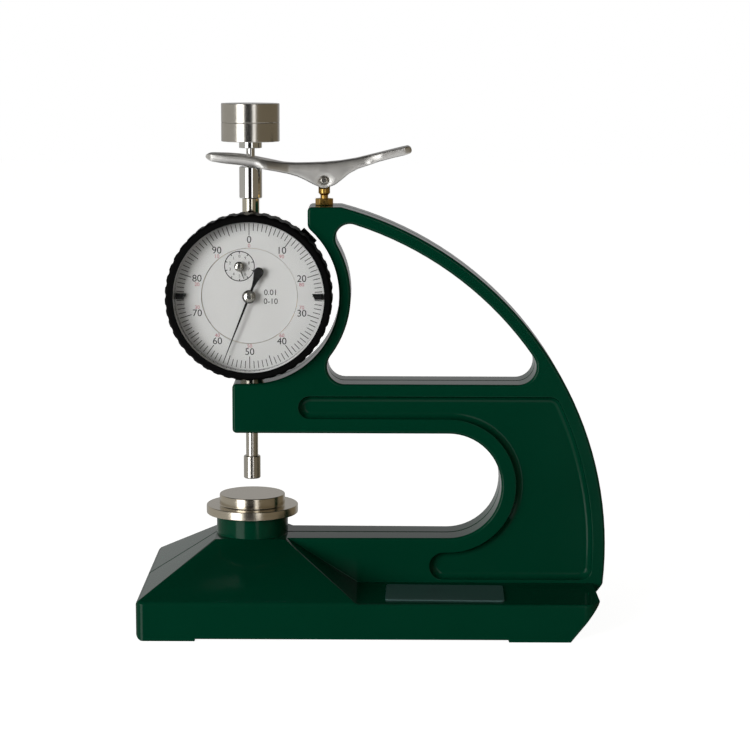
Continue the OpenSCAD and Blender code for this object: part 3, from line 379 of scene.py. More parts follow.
def turned(profile, segments=96):
    """Turns a piece about +Z: one ring is extruded and sized from step to step, then its ends are closed."""
    deselect()
    radius, height = profile[0]
    bpy.ops.mesh.primitive_circle_add(vertices=segments, radius=radius, location=(0, 0, 0))
    piece = bpy.context.object
    edit(piece)
    bpy.ops.transform.translate(value=(0, 0, height))
    for next_radius, next_height in profile[1:]:
        bpy.ops.mesh.extrude_region_move(TRANSFORM_OT_translate={"value": (0, 0, next_height - height)})
        share = next_radius / radius
        bpy.ops.transform.resize(value=(share, share, 1), center_override=(0, 0, next_height))
        radius, height = next_radius, next_height
    bpy.ops.mesh.select_all(action="SELECT")
    bpy.ops.mesh.remove_doubles(threshold=1e-7)
    bpy.ops.mesh.select_all(action="DESELECT")
    bpy.ops.mesh.select_non_manifold()
    if piece.data.total_edge_sel:
        bpy.ops.mesh.fill_holes(sides=0)
    merge_and_point_outwards()
    done_editing()
    return piece


def stand_on(piece, origin, faces_front=False):
    """Moves a piece modelled about the origin to its place, and turns it to the front if asked."""
    make_active(piece)
    piece.rotation_euler = (math.pi / 2 if faces_front else 0, 0, 0)
    piece.location = origin
    bpy.ops.object.transform_apply(location=True, rotation=True, scale=True)
    return piece


def joined(pieces):
    """Joins several pieces into the first."""
    deselect()
    for piece in pieces:
        piece.select_set(True)
    bpy.context.view_layer.objects.active = pieces[0]
    bpy.ops.object.join()
    return bpy.context.object


def numeral(body, height, x, y, lift):
    """One line of figures as a flat mesh, centred at x, y."""
    deselect()
    bpy.ops.object.text_add(location=(0, 0, 0))
    piece = bpy.context.object
    piece.data.body = body
    piece.data.size = height / FIGURE_SHARE
    piece.data.align_x = "CENTER"
    piece.data.align_y = "CENTER"
    bpy.ops.object.convert(target="MESH")
    piece = bpy.context.object
    piece.location = (x, y, lift)
    bpy.ops.object.transform_apply(location=True, rotation=False, scale=False)
    return piece


def ring_of_lines(inner, outer, width, lift, first, step, copies, groups=1):
    """Flat lines on a ring: one line is copied round by spinning, then the group is."""
    deselect()
    bpy.ops.mesh.primitive_plane_add(size=1)
    piece = bpy.context.object
    edit(piece)
    bpy.ops.transform.resize(value=(width, outer - inner, 1), center_override=(0, 0, 0))
    bpy.ops.transform.translate(value=(0, (inner + outer) / 2, lift))
    turn(first)
    spin_copies(copies - 1, step)
    bpy.ops.mesh.select_all(action="SELECT")
    spin_copies(groups - 1, 2 * math.pi / groups)
    done_editing()
    return piece


def turn(clockwise):
    """In edit mode: turns the selection clockwise about the dial's axis."""
    bpy.ops.transform.rotate(value=clockwise, orient_axis="Z", center_override=(0, 0, 0))


def spin_copies(copies, step):
    """In edit mode: copies the selection round the dial's axis, each copy one step further."""
    if copies:
        bpy.ops.mesh.spin(steps=copies, dupli=True, angle=step * copies, center=(0, 0, 0), axis=(0, 0, 1))


def new_material(name):
    """A new material with its node tree and its Principled shader."""
    material = bpy.data.materials.new(name)
    material.use_nodes = True
    tree = material.node_tree
    return material, tree, tree.nodes["Principled BSDF"]


def link(tree, source, target):
    tree.links.new(source, target)


def add(tree, kind, **values):
    """Adds a node and sets its plain properties."""
    node = tree.nodes.new(kind)
    for key, value in values.items():
        setattr(node, key, value)
    return node


def set_inputs(node, values):
    """Sets a node's input sockets by name."""
    for key, value in values.items():
        node.inputs[key].default_value = value


def maths(tree, operation, first, second=None):
    """A Math node fed by sockets or plain numbers."""
    node = add(tree, "ShaderNodeMath", operation=operation)
    for socket, value in zip(node.inputs, (first, second)):
        if value is None:
            continue
        if isinstance(value, (int, float)):
            socket.default_value = value
        else:
            link(tree, value, socket)
    return node.outputs[0]


def coordinates(tree, kind="Object"):
    """The X, Y and Z outputs of a texture coordinate."""
    place = add(tree, "ShaderNodeTexCoord")
    parts = add(tree, "ShaderNodeSeparateXYZ")
    link(tree, place.outputs[kind], parts.inputs["Vector"])
    return parts.outputs


def noise(tree, vector, scale, detail=2.0):
    """A noise on a vector, with its scale from a socket."""
    node = add(tree, "ShaderNodeTexNoise")
    node.inputs["Detail"].default_value = detail
    link(tree, vector, node.inputs["Vector"])
    link(tree, scale, node.inputs["Scale"])
    return node.outputs["Fac"]


def rise(tree, value, start, full):
    """A soft mask that rises from nothing at one value to full at another."""
    node = add(tree, "ShaderNodeMapRange", interpolation_type="SMOOTHSTEP")
    set_inputs(node, {"From Min": start, "From Max": full})
    link(tree, value, node.inputs["Value"])
    return node.outputs["Result"]


def blend(tree, factor, first, second):
    """A colour between two colours, of which the first may come from a node."""
    node = add(tree, "ShaderNodeMix", data_type="RGBA")
    link(tree, factor, node.inputs[0])
    if isinstance(first, tuple):
        node.inputs[6].default_value = first
    else:
        link(tree, first, node.inputs[6])
    node.inputs[7].default_value = second
    return node.outputs[2]


def let_through(tree, shader, factor):
    """Lets the rays that a factor picks out pass through the surface."""
    through = add(tree, "ShaderNodeBsdfTransparent")
    mixed = add(tree, "ShaderNodeMixShader")
    link(tree, factor, mixed.inputs[0])
    link(tree, shader.outputs["BSDF"], mixed.inputs[1])
    link(tree, through.outputs["BSDF"], mixed.inputs[2])
    link(tree, mixed.outputs["Shader"], tree.nodes["Material Output"].inputs["Surface"])


def new_group(name, inputs, outputs):
    """An empty shader node group with float inputs and outputs."""
    group = bpy.data.node_groups.new(name, "ShaderNodeTree")
    for label, value in inputs:
        socket = group.interface.new_socket(name=label, in_out="INPUT", socket_type="NodeSocketFloat")
        socket.default_value = value
    for label in outputs:
        group.interface.new_socket(name=label, in_out="OUTPUT", socket_type="NodeSocketFloat")
    return group, add(group, "NodeGroupInput"), add(group, "NodeGroupOutput")


def fine_grain():
    """Node group: a fine uneven surface, as in paint, castings and moulded plastic."""
    if "Fine grain" in bpy.data.node_groups:
        return bpy.data.node_groups["Fine grain"]
    group, given, result = new_group(
        "Fine grain", [("Grain", 900.0), ("Cloud", 40.0)], ["Height", "Cloudiness"]
    )
    place = add(group, "ShaderNodeTexCoord").outputs["Object"]
    link(group, noise(group, place, given.outputs["Grain"], detail=3.0), result.inputs["Height"])
    link(group, noise(group, place, given.outputs["Cloud"]), result.inputs["Cloudiness"])
    return group


def turning_marks():
    """Node group: fine rings left by a lathe on a piece that stands on the spindle's axis."""
    if "Turning marks" in bpy.data.node_groups:
        return bpy.data.node_groups["Turning marks"]
    group, given, result = new_group(
        "Turning marks", [("Scale", 5000.0), ("Stain", 120.0)], ["Height", "Stain"]
    )
    place = add(group, "ShaderNodeTexCoord").outputs["Object"]
    centred = add(group, "ShaderNodeMapping")
    centred.inputs["Location"].default_value = (-DIAL.x, 0, 0)
    parts = add(group, "ShaderNodeSeparateXYZ")
    link(group, place, centred.inputs["Vector"])
    link(group, centred.outputs["Vector"], parts.inputs["Vector"])
    across = maths(group, "MULTIPLY", parts.outputs["X"], parts.outputs["X"])
    along = maths(group, "MULTIPLY", parts.outputs["Y"], parts.outputs["Y"])
    radius = maths(group, "SQRT", maths(group, "ADD", across, along))
    track = add(group, "ShaderNodeCombineXYZ")
    link(group, radius, track.inputs["X"])
    link(group, parts.outputs["Z"], track.inputs["Y"])
    link(group, noise(group, track.outputs["Vector"], given.outputs["Scale"]), result.inputs["Height"])
    link(group, noise(group, place, given.outputs["Stain"], detail=4.0), result.inputs["Stain"])
    return group


def use_group(tree, group, **values):
    """Places a node group in a material with its own values."""
    node = add(tree, "ShaderNodeGroup", node_tree=group)
    set_inputs(node, values)
    return node


def spread(tree, factor, low, high):
    """Maps a 0 to 1 factor to a range."""
    node = add(tree, "ShaderNodeMapRange")
    set_inputs(node, {"To Min": low, "To Max": high})
    link(tree, factor, node.inputs["Value"])
    return node.outputs["Result"]


def bump(tree, shader, height, strength, distance):
    """Feeds a height into the shader's normal."""
    node = add(tree, "ShaderNodeBump")
    set_inputs(node, {"Strength": strength, "Distance": distance})
    link(tree, height, node.inputs["Height"])
    link(tree, node.outputs["Normal"], shader.inputs["Normal"])


def tint(tree, shader, factor, colour, darkest, lightest):
    """Base colour that a factor moves between a darker and a lighter tone."""
    tone = blend(tree, factor, (*shade(colour, darkest), 1), (*shade(colour, lightest), 1))
    link(tree, tone, shader.inputs["Base Color"])


def vary_roughness(tree, shader, factor, rough, smoothest, roughest):
    """Roughness that a factor moves between a smaller and a greater share of its value."""
    link(tree, spread(tree, factor, rough * smoothest, rough * roughest), shader.inputs["Roughness"])


def shade(colour, share):
    return tuple(channel * share for channel in colour)


def grey(level):
    return (level, level, level)


def enamel(name, settings):
    """Gloss green enamel with a slightly uneven skin and the casting's parting line."""
    material, tree, shader = new_material(name)
    skin = use_group(tree, fine_grain(), Grain=420.0, Cloud=30.0)
    skin_height = 0.03
    seam_roughness = 0.6
    off_middle = maths(tree, "ABSOLUTE", coordinates(tree)["Y"])
    beside_seam = rise(tree, off_middle, settings.seam_width * 0.25, settings.seam_width * 0.5)
    on_seam = maths(tree, "SUBTRACT", 1.0, beside_seam)
    tint(tree, shader, skin.outputs["Cloudiness"], settings.paint, darkest=0.9, lightest=1.1)
    rough = spread(tree, skin.outputs["Cloudiness"], 0.10, 0.16)
    rough_with_seam = maths(tree, "ADD", rough, maths(tree, "MULTIPLY", on_seam, seam_roughness))
    link(tree, rough_with_seam, shader.inputs["Roughness"])
    unevenness = maths(tree, "MULTIPLY", skin.outputs["Height"], skin_height)
    bump(tree, shader, maths(tree, "ADD", unevenness, beside_seam), strength=1.0, distance=0.4 * MM)
    shader.inputs["Specular IOR Level"].default_value = 0.12
    return material


def lathe_metal(name, colour, rough, marks=5000.0, tone="Stain"):
    """Turned or ground metal with fine rings, toned by faint stains or by the rings themselves."""
    material, tree, shader = new_material(name)
    rings = use_group(tree, turning_marks(), Scale=marks)
    shader.inputs["Metallic"].default_value = 1.0
    tint(tree, shader, rings.outputs[tone], colour, darkest=0.86, lightest=1.06)
    vary_roughness(tree, shader, rings.outputs["Height"], rough, smoothest=0.75, roughest=1.3)
    bump(tree, shader, rings.outputs["Height"], strength=0.12, distance=0.03 * MM)
    return material


def cast_metal(name, colour, rough, grain=600.0, depth=0.05 * MM):
    """Polished or plated metal with a faint uneven skin."""
    material, tree, shader = new_material(name)
    skin = use_group(tree, fine_grain(), Grain=grain, Cloud=180.0)
    shader.inputs["Metallic"].default_value = 1.0
    tint(tree, shader, skin.outputs["Cloudiness"], colour, darkest=0.86, lightest=1.06)
    vary_roughness(tree, shader, skin.outputs["Cloudiness"], rough, smoothest=0.7, roughest=1.4)
    bump(tree, shader, skin.outputs["Height"], strength=0.2, distance=depth)
    return material


def plain_coat(name, colour, rough, specular=0.5, grain=1500.0, depth=0.01 * MM):
    """Paint, print or plastic with a fine grain."""
    material, tree, shader = new_material(name)
    skin = use_group(tree, fine_grain(), Grain=grain, Cloud=90.0)
    tint(tree, shader, skin.outputs["Cloudiness"], colour, darkest=0.95, lightest=1.04)
    vary_roughness(tree, shader, skin.outputs["Cloudiness"], rough, smoothest=0.9, roughest=1.1)
    bump(tree, shader, skin.outputs["Height"], strength=0.3, distance=depth)
    shader.inputs["Specular IOR Level"].default_value = specular
    return material


def clear_acrylic(name):
    """Clear acrylic that lets lamp light through to the dial."""
    material, tree, shader = new_material(name)
    set_inputs(shader, {
        "Base Color": (0.98, 0.985, 0.985, 1),
        "Roughness": 0.0,
        "IOR": 1.49,
        "Transmission Weight": 1.0,
    })
    path = add(tree, "ShaderNodeLightPath")
    either = maths(tree, "MAXIMUM", path.outputs["Is Shadow Ray"], path.outputs["Is Diffuse Ray"])
    let_through(tree, shader, either)
    return material


def finish_named(name):
    """A material by name, made the first time it is asked for."""
    if name in bpy.data.materials:
        return bpy.data.materials[name]
    scene = bpy.context.scene
    metal = scene.gauge_metal
    dial = scene.gauge_dial
    finishes = {
        "green_enamel": (enamel, scene.gauge_casting),
        "turned_steel": (lathe_metal, metal.steel, 0.20),
        "faced_steel": (lathe_metal, metal.faced_steel, 0.20, 700.0, "Height"),
        "ground_finish": (lathe_metal, metal.steel, 0.24, 2500.0),
        "plated_chrome": (lathe_metal, metal.chrome, 0.06, 1500.0),
        "plated_nickel": (lathe_metal, metal.nickel, 0.10, 1500.0),
        "polished_finish": (cast_metal, metal.aluminium, 0.42, 420.0, 0.1 * MM),
        "satin_case": (cast_metal, shade(metal.chrome, 0.8), 0.35),
        "old_brass": (cast_metal, metal.brass, 0.26),
        "blued_spring": (cast_metal, (0.08, 0.11, 0.22), 0.25),
        "dark_finish": (cast_metal, (0.10, 0.10, 0.11), 0.30),
        "hub_steel": (cast_metal, (0.34, 0.33, 0.30), 0.18),
        "dial_coat": (plain_coat, dial.face, 0.55, 0.3, 900.0, 0.004 * MM),
        "black_ink": (plain_coat, dial.ink, 0.6, 0.2),
        "red_ink": (plain_coat, dial.red_ink, 0.6, 0.2),
        "black_moulding": (plain_coat, dial.black, 0.48, 0.05, 2200.0, 0.03 * MM),
        "black_enamel": (plain_coat, dial.black, 0.4, 0.3),
        "plate_face": (plain_coat, scene.gauge_plate.colour, 0.35),
        "clear_acrylic": (clear_acrylic,),
    }
    maker, *values = finishes[name]
    return maker(name, *values)


class GAUGE_OT_studio(bpy.types.Operator):
    """Sets the camera, the lamps and the white background"""

    bl_idname = "gauge.studio"
    bl_label = "Studio"

    camera_place = (-0.00007, -0.74353, 0.20102)
    lamp_target = Vector((0, 0, 0.1))
    floor_size = 6.0
    floor_drop = 0.05 * MM
    floor_glow = 0.94

    def execute(self, context):
        studio = context.scene.gauge_studio
        deselect()
        self.camera(context, studio)
        self.room(context, studio)
        self.floor()
        key = self.lamp("key_lamp", (-0.80, -1.00, 0.08), studio.key_radiance, width=0.62, height=1.00)
        key.visible_glossy = False
        card = self.lamp("key_card", (-0.78, -0.975, 0.08), studio.card_radiance, width=0.60, height=1.00)
        card.visible_diffuse = False
        self.lamp("fill_lamp", (0.36, -1.24, 0.30), studio.fill_radiance, width=0.26, height=1.20)
        context.scene.view_settings.view_transform = "Standard"
        return {"FINISHED"}

    def camera(self, context, studio):
        bpy.ops.object.camera_add(location=self.camera_place)
        camera = context.object
        camera.rotation_mode = "ZYX"
        camera.rotation_euler = (math.pi / 2 - studio.pitch, 0, studio.roll)
        camera.data.sensor_width = 36.0
        camera.data.lens = studio.focal
        context.scene.camera = camera

    def room(self, context, studio):
        """A room for reflections, dark above and round the camera. The camera itself sees plain white."""
        world = bpy.data.worlds.new("white_room")
        context.scene.world = world
        world.use_nodes = True
        tree = world.node_tree
        directions = coordinates(tree, "Generated")
        # Axis, where the zone starts, where it is full, and its colour
        zones = (
            ("X", -0.5, 0.5, studio.right),
            ("Z", 0.35, 0.7, grey(studio.dark)),
            ("Y", -0.86, -0.97, grey(studio.dark)),
            ("Y", 0.70, 0.92, grey(studio.behind)),
            ("Z", -0.3, -0.55, grey(studio.table)),
        )
        colour = (*studio.left, 1)
        for axis, start, full, next_colour in zones:
            mask = rise(tree, directions[axis], start, full)
            colour = blend(tree, mask, colour, (*next_colour, 1))
        path = add(tree, "ShaderNodeLightPath")
        white = blend(tree, path.outputs["Is Camera Ray"], colour, (1, 1, 1, 1))
        link(tree, white, tree.nodes["Background"].inputs["Color"])

    def floor(self):
        """Pale floor that is white to the camera, keeps a faint shadow and stays out of the polish."""
        bpy.ops.mesh.primitive_plane_add(size=self.floor_size, location=(0, 0, -self.floor_drop))
        floor = bpy.context.object
        floor.name = "floor"
        material, tree, shader = new_material("pale_floor")
        set_inputs(shader, {
            "Base Color": (0.6, 0.6, 0.59, 1),
            "Roughness": 0.9,
            "Specular IOR Level": 0.0,
            "Emission Color": (1, 1, 1, 1),
        })
        path = add(tree, "ShaderNodeLightPath")
        glow = maths(tree, "MULTIPLY", path.outputs["Is Camera Ray"], self.floor_glow)
        link(tree, glow, shader.inputs["Emission Strength"])
        let_through(tree, shader, path.outputs["Is Glossy Ray"])
        floor.data.materials.append(material)

    def lamp(self, name, place, radiance, width, height):
        """A tall soft lamp that faces the gauge."""
        bpy.ops.object.light_add(type="AREA", location=place)
        lamp = bpy.context.object
        lamp.name = name
        lamp.rotation_euler = (self.lamp_target - Vector(place)).to_track_quat("-Z", "Y").to_euler()
        lamp.data.shape = "RECTANGLE"
        lamp.data.size = width
        lamp.data.size_y = height
        lamp.data.energy = radiance * math.pi * width * height
        return lamp


class GAUGE_OT_casting(bpy.types.Operator):
    """Rounds the casting's edges and paints it"""

    bl_idname = "gauge.casting"
    bl_label = "Casting"

    block_top = 29.25 * MM
    panel_floor = 7.4 * MM
    panel_wall = 8.9 * MM
    heel_end = 76.2 * MM
    heel_fade = 4.8 * MM

    def execute(self, context):
        settings = context.scene.gauge_casting
        piece = copy_of("frame_casting")
        widest = max(settings.plinth_round, settings.web_round, settings.panel_round)
        weigh_edges(piece, widest, math.radians(25), self.rounding)
        bevelled(piece, widest, segments=4, weighted=True)
        finish_piece(piece, "casting", "stand", "green_paint", "green_enamel", "frame_casting")
        return {"FINISHED"}

    def rounding(self, middle, faces):
        """The rounding of an edge by where its middle lies and which faces meet there."""
        settings = bpy.context.scene.gauge_casting
        at_neck = middle.x < DIAL.x + 14 * MM and abs(middle.z - self.block_top) < 0.5 * MM
        by_block_edge = max(abs(middle.x - DIAL.x), abs(middle.y)) > 12.5 * MM
        under = middle.z < 2 * MM
        at_block = middle.x < DIAL.x + 40 * MM and middle.z < 40 * MM
        if at_neck and by_block_edge:
            return 0
        if at_neck or under or self.in_bore(middle):
            return settings.bore_round
        if middle.z < LEDGE + 0.7 * MM:
            return self.plinth_rounding(settings, middle)
        if abs(abs(middle.y) - self.panel_floor) < 0.1 * MM:
            return settings.panel_round
        if any(abs(abs(face.center.y) - self.panel_wall) < 0.2 * MM for face in faces):
            return settings.panel_rim
        return settings.fine_round if at_block else settings.web_round

    def in_bore(self, middle):
        """Whether an edge belongs to the post's hole, a bore on the spindle's axis or a screw hole."""
        off_axis = abs(middle.x - DIAL.x)
        in_post_hole = math.hypot(middle.x - PIVOT.x, middle.y) < 2 * MM
        near_axis = off_axis < 6 * MM and abs(middle.y) < 6 * MM
        behind_axis = off_axis < 2.2 * MM and middle.y > 4 * MM
        in_screw_hole = behind_axis and 30 * MM < middle.z < 79 * MM
        return in_post_hole or near_axis or in_screw_hole

    def plinth_rounding(self, settings, middle):
        """The rounding of a plinth edge, which runs out along the ledge towards the heel's slope."""
        share = min(1, max(0, (self.heel_end - middle.x) / self.heel_fade))
        if share < 1:
            return settings.plinth_round * share if abs(middle.z - LEDGE) < 0.02 * MM else 0
        outside = abs(middle.y) > 30 * MM or middle.x < -65 * MM
        return settings.plinth_round if outside else settings.fine_round


class GAUGE_OT_anvil(bpy.types.Operator):
    """Turns the stepped anvil"""

    bl_idname = "gauge.anvil"
    bl_label = "Anvil"

    def execute(self, context):
        low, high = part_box("anvil")
        flange_r = (high.x - low.x) / 2
        disc_r = 11.7 * MM
        spigot_r = 5.0 * MM
        neck_top = high.z - 6.9 * MM
        flange_top = high.z - 3.8 * MM
        profile = [
            (spigot_r, low.z),
            (spigot_r, neck_top),
            (flange_r, neck_top),
            (flange_r, flange_top),
            (disc_r, flange_top),
            (disc_r, high.z),
        ]
        piece = stand_on(turned(profile, segments=128), (DIAL.x, 0, 0))
        bevelled(piece, width=0.35 * MM)
        finish_piece(piece, "anvil_turned", "stand", "ground_steel", "faced_steel", "anvil")
        return {"FINISHED"}


class GAUGE_OT_weights(bpy.types.Operator):
    """Turns the two dead weights and finishes the rod with its collar"""

    bl_idname = "gauge.weights"
    bl_label = "Weights"

    def execute(self, context):
        bore_r = 1.52 * MM
        for node in ("lower_weight", "upper_weight"):
            low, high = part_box(node)
            radius = (high.x - low.x) / 2
            profile = [(bore_r, low.z), (radius, low.z), (radius, high.z), (bore_r, high.z)]
            piece = stand_on(turned(profile, segments=128), (DIAL.x, 0, 0))
            bevelled(piece, width=0.22 * MM)
            finish_piece(piece, node + "_turned", "spindle", "ground_steel", "turned_steel", node)
        rod = bevelled(copy_of("weight_rod"), context.scene.gauge_metal.edge)
        finish_piece(rod, "rod_and_collar", "spindle", "ground_steel", "plated_chrome", "weight_rod")
        return {"FINISHED"}


class GAUGE_OT_spindle(bpy.types.Operator):
    """Finishes the spindle, its foot, the moving cap and the fixed tubes"""

    bl_idname = "gauge.spindle"
    bl_label = "Spindle"

    def execute(self, context):
        edge = context.scene.gauge_metal.edge
        rows = [
            ("contact_foot", "spindle", "ground_steel", "turned_steel", edge),
            ("cap_sleeve", "spindle", "chrome", "plated_chrome", edge),
            ("stem", "stand", "chrome", "plated_nickel", edge),
            ("top_sleeve", "stand", "nickel", "plated_nickel", 0.1 * MM),
        ]
        for node, body, slot, finish, width in rows:
            piece = bevelled(copy_of(node), width, segments=2)
            finish_piece(piece, node + "_finished", body, slot, finish, node)
        rack = smoothed(copy_of("rack_spindle"), angle=math.radians(25))
        finish_piece(rack, "spindle_with_rack", "spindle", "ground_steel", "ground_finish", "rack_spindle")
        return {"FINISHED"}


class GAUGE_OT_lever(bpy.types.Operator):
    """Finishes the lifting lever, its pin, post and nut"""

    bl_idname = "gauge.lever"
    bl_label = "Lever"

    def execute(self, context):
        piece = evenly_meshed(copy_of("lift_lever"), grain=0.28 * MM)
        self.draw_in(piece, self.under_edge, share=0.76, reach=2.8 * MM)
        self.draw_in(piece, self.top_edge, share=0.84, reach=2.2 * MM)
        cast_smooth(piece, flank_rounds=60, rounds=14)
        finish_piece(piece, "lever_polished", "lever", "polished_aluminium", "polished_finish", "lift_lever")
        pin = bevelled(self.lengthened(copy_of("pivot_pin")), width=0.45 * MM, segments=4)
        finish_piece(pin, "pin_finished", "lever", "bright_steel", "ground_finish", "pivot_pin")
        for node in ("lever_post", "post_nut"):
            brass = bevelled(copy_of(node), width=0.2 * MM)
            finish_piece(brass, node + "_finished", "stand", "brass", "old_brass", node)
        return {"FINISHED"}

    def lengthened(self, pin):
        """Lets the pin's ends stand out of the cheeks."""
        stretch = 1.12
        edit(pin)
        bpy.ops.transform.resize(value=(1, stretch, 1), center_override=tuple(PIVOT))
        done_editing()
        return pin

    def under_edge(self, point):
        """Whether a point lies at the lower edge of the fork's or the thumb pad's flank."""
        reach = point.co.x - PIVOT.x
        at_fork = reach < -24 * MM and abs(point.co.y) > 7 * MM
        at_pad = reach > 18 * MM and abs(point.co.y) > 5.8 * MM
        return point.normal.z < -0.3 and (at_fork or at_pad)

    def top_edge(self, point):
        """Whether a point lies on the lever's top, clear of the fork's slot."""
        return point.normal.z > 0.3 and abs(point.co.y) > 3.6 * MM

    def draw_in(self, piece, chosen, share, reach):
        """Narrows the chosen points and, less and less, those within reach of them."""
        select_only(piece, chosen)
        bpy.ops.transform.resize(
            value=(1, share, 1), center_override=tuple(PIVOT), use_proportional_edit=True,
            proportional_edit_falloff="SMOOTH", proportional_size=reach
        )
        done_editing()


class GAUGE_OT_bezel(bpy.types.Operator):
    """Finishes the bezel, the clip and the case"""

    bl_idname = "gauge.bezel"
    bl_label = "Bezel"

    def execute(self, context):
        for node, body in (("bezel_ring", "bezel"), ("bezel_clip", "stand")):
            piece = bevelled(copy_of(node), width=0.18 * MM, segments=2)
            finish_piece(piece, node + "_moulded", body, "black_plastic", "black_moulding", node)
        for node in ("case_body", "back_cover"):
            piece = bevelled(copy_of(node), width=0.25 * MM, segments=2)
            finish_piece(piece, node + "_finished", "stand", "case_metal", "satin_case", node)
        return {"FINISHED"}


class GAUGE_OT_dial(bpy.types.Operator):
    """Finishes the two dial plates and prints the scale, the numerals and the counter"""

    bl_idname = "gauge.dial"
    bl_label = "Dial"

    lift = 0.02 * MM

    def execute(self, context):
        settings = context.scene.gauge_dial
        for node, body in (("dial_ring", "bezel"), ("inner_dial", "stand")):
            plate = copy_of(node)
            if node == "inner_dial":
                self.widen(plate)
            bevelled(plate, width=0.05 * MM, segments=2)
            finish_piece(plate, node + "_printed", body, "dial_white", "dial_coat", node)
        self.scale(settings)
        self.figures(settings)
        self.counter()
        return {"FINISHED"}

    def widen(self, plate):
        """Brings the fixed centre close to the ring round it, so that only a fine line shows."""
        growth = 0.16 * MM
        rim = max((point.co - DIAL).xz.length for point in plate.data.vertices)
        share = (rim + growth) / rim
        select_only(plate, lambda point: (point.co - DIAL).xz.length > rim - 0.1 * MM)
        bpy.ops.transform.resize(value=(share, 1, share), center_override=tuple(DIAL))
        done_editing()

    def on_ring(self, piece, name, ink, body="bezel", face=DIAL_FACE, slot="hand_black"):
        stand_on(piece, (DIAL.x, -face, DIAL.z), faces_front=True)
        finish_piece(piece, name, body, slot, ink)

    def scale(self, settings):
        ten_line = 4.2 * MM
        five_line = 3.5 * MM
        one_line = 2.6 * MM
        outer = settings.scale_r
        bold = settings.line * 1.1
        step = math.radians(3.6)
        tens = ring_of_lines(outer - ten_line, outer, bold, self.lift, 0, 10 * step, 10)
        fives = ring_of_lines(outer - five_line, outer, bold, self.lift, 5 * step, 10 * step, 10)
        ones = ring_of_lines(outer - one_line, outer, settings.line, self.lift, step, step, 4, groups=20)
        self.on_ring(joined([tens, fives, ones]), "scale_lines", "black_ink")

    def figures(self, settings):
        radius = 19.6 * MM
        sideways = 0.975
        red_inset = 2.05 * MM
        black = []
        red = []
        for index in range(10):
            angle = math.radians(36 * index)
            x = sideways * radius * math.sin(angle)
            y = radius * math.cos(angle)
            black.append(numeral(str(10 * index), settings.numeral, x, y, self.lift))
            inward = red_inset if y < 0 else -red_inset
            reverse = str((100 - 10 * index) % 100)
            red.append(numeral(reverse, settings.red_numeral, x, y + inward, self.lift))
        self.on_ring(joined(black), "black_figures", "black_ink")
        self.on_ring(joined(red), "red_figures", "red_ink")

    def counter(self):
        """The counter's circle with its lines and figures, and the plain numbers beside the hub."""
        shift = COUNTER - DIAL
        circle_r = 5.15 * MM
        line = 0.3 * MM
        line_length = 0.75 * MM
        figure_r = 3.45 * MM
        figure = 0.95 * MM
        side_figure = 1.9 * MM
        side_x = 7.4 * MM
        inner = circle_r - line / 2
        outer = circle_r + line / 2
        top = self.lift
        bottom = self.lift / 2
        circle = turned([(inner, top), (outer, top), (outer, bottom), (inner, bottom), (inner, top)])
        lines = ring_of_lines(circle_r - line_length, circle_r, line, top, 0, math.radians(36), 10)
        pieces = [circle, lines]
        for index in range(10):
            angle = -math.radians(36 * index)
            x = figure_r * math.sin(angle)
            y = figure_r * math.cos(angle)
            pieces.append(numeral(str(index), figure, x, y, top))
        counter = stand_on(joined(pieces), Vector((shift.x, shift.z, 0)))
        division = numeral("0.01", side_figure, side_x, 1.2 * MM, top)
        travel = numeral("0-10", side_figure, side_x, -1.9 * MM, top)
        self.on_ring(joined([counter, division, travel]), "counter_print", "black_ink", "stand", INNER_FACE)


class GAUGE_OT_hands(bpy.types.Operator):
    """Finishes the pointer, its hub, the counter hand and the tolerance markers"""

    bl_idname = "gauge.hands"
    bl_label = "Hands"

    def execute(self, context):
        hub = bevelled(copy_of("pointer_hub"), width=0.35 * MM, segments=4, angle=math.radians(15))
        finish_piece(hub, "hub_domed", "pointer_shaft", "chrome", "hub_steel", "pointer_hub")
        hand = self.crowned(bevelled(copy_of("counter_hand"), width=0.05 * MM, segments=1))
        finish_piece(
            hand, "counter_hand_finished", "counter_shaft", "hand_grey", "hub_steel", "counter_hand"
        )
        pointer = bevelled(copy_of("pointer"), width=0.04 * MM, segments=1)
        finish_piece(pointer, "pointer_enamelled", "pointer_shaft", "hand_black", "black_enamel", "pointer")
        for node, body in (("left_marker", "left_limit"), ("right_marker", "right_limit")):
            marker = bevelled(self.trimmed(copy_of(node)), width=0.06 * MM, segments=1)
            finish_piece(marker, node + "_enamelled", body, "hand_black", "black_enamel", node)
        return {"FINISHED"}

    def crowned(self, hand):
        """Raises a dome on the flat top of the counter hand's hub, ring by ring."""
        top = min(point.co.y for point in hand.data.vertices)
        height = 0.6 * MM
        arc = math.radians(85)
        steps = 6
        select_only(hand, lambda face: abs(face.center.y - top) < 0.001 * MM, kind="FACE")
        for index in range(steps):
            start = arc * index / steps
            end = arc * (index + 1) / steps
            climb = height * (math.sin(end) - math.sin(start))
            share = math.cos(end) / math.cos(start)
            bpy.ops.mesh.extrude_region_move(TRANSFORM_OT_translate={"value": (0, -climb, 0)})
            bpy.ops.transform.resize(value=(share, 1, share), center_override=tuple(COUNTER))
        done_editing()
        return smoothed(hand)

    def trimmed(self, marker):
        """Cuts the marker's slider down to the width of its point."""
        half = 1.0 * MM
        for side in (1, -1):
            edit(marker)
            bpy.ops.mesh.bisect(
                plane_co=(DIAL.x, DIAL.y, DIAL.z + side * half), plane_no=(0, 0, side),
                use_fill=True, clear_outer=True
            )
            done_editing()
        return marker


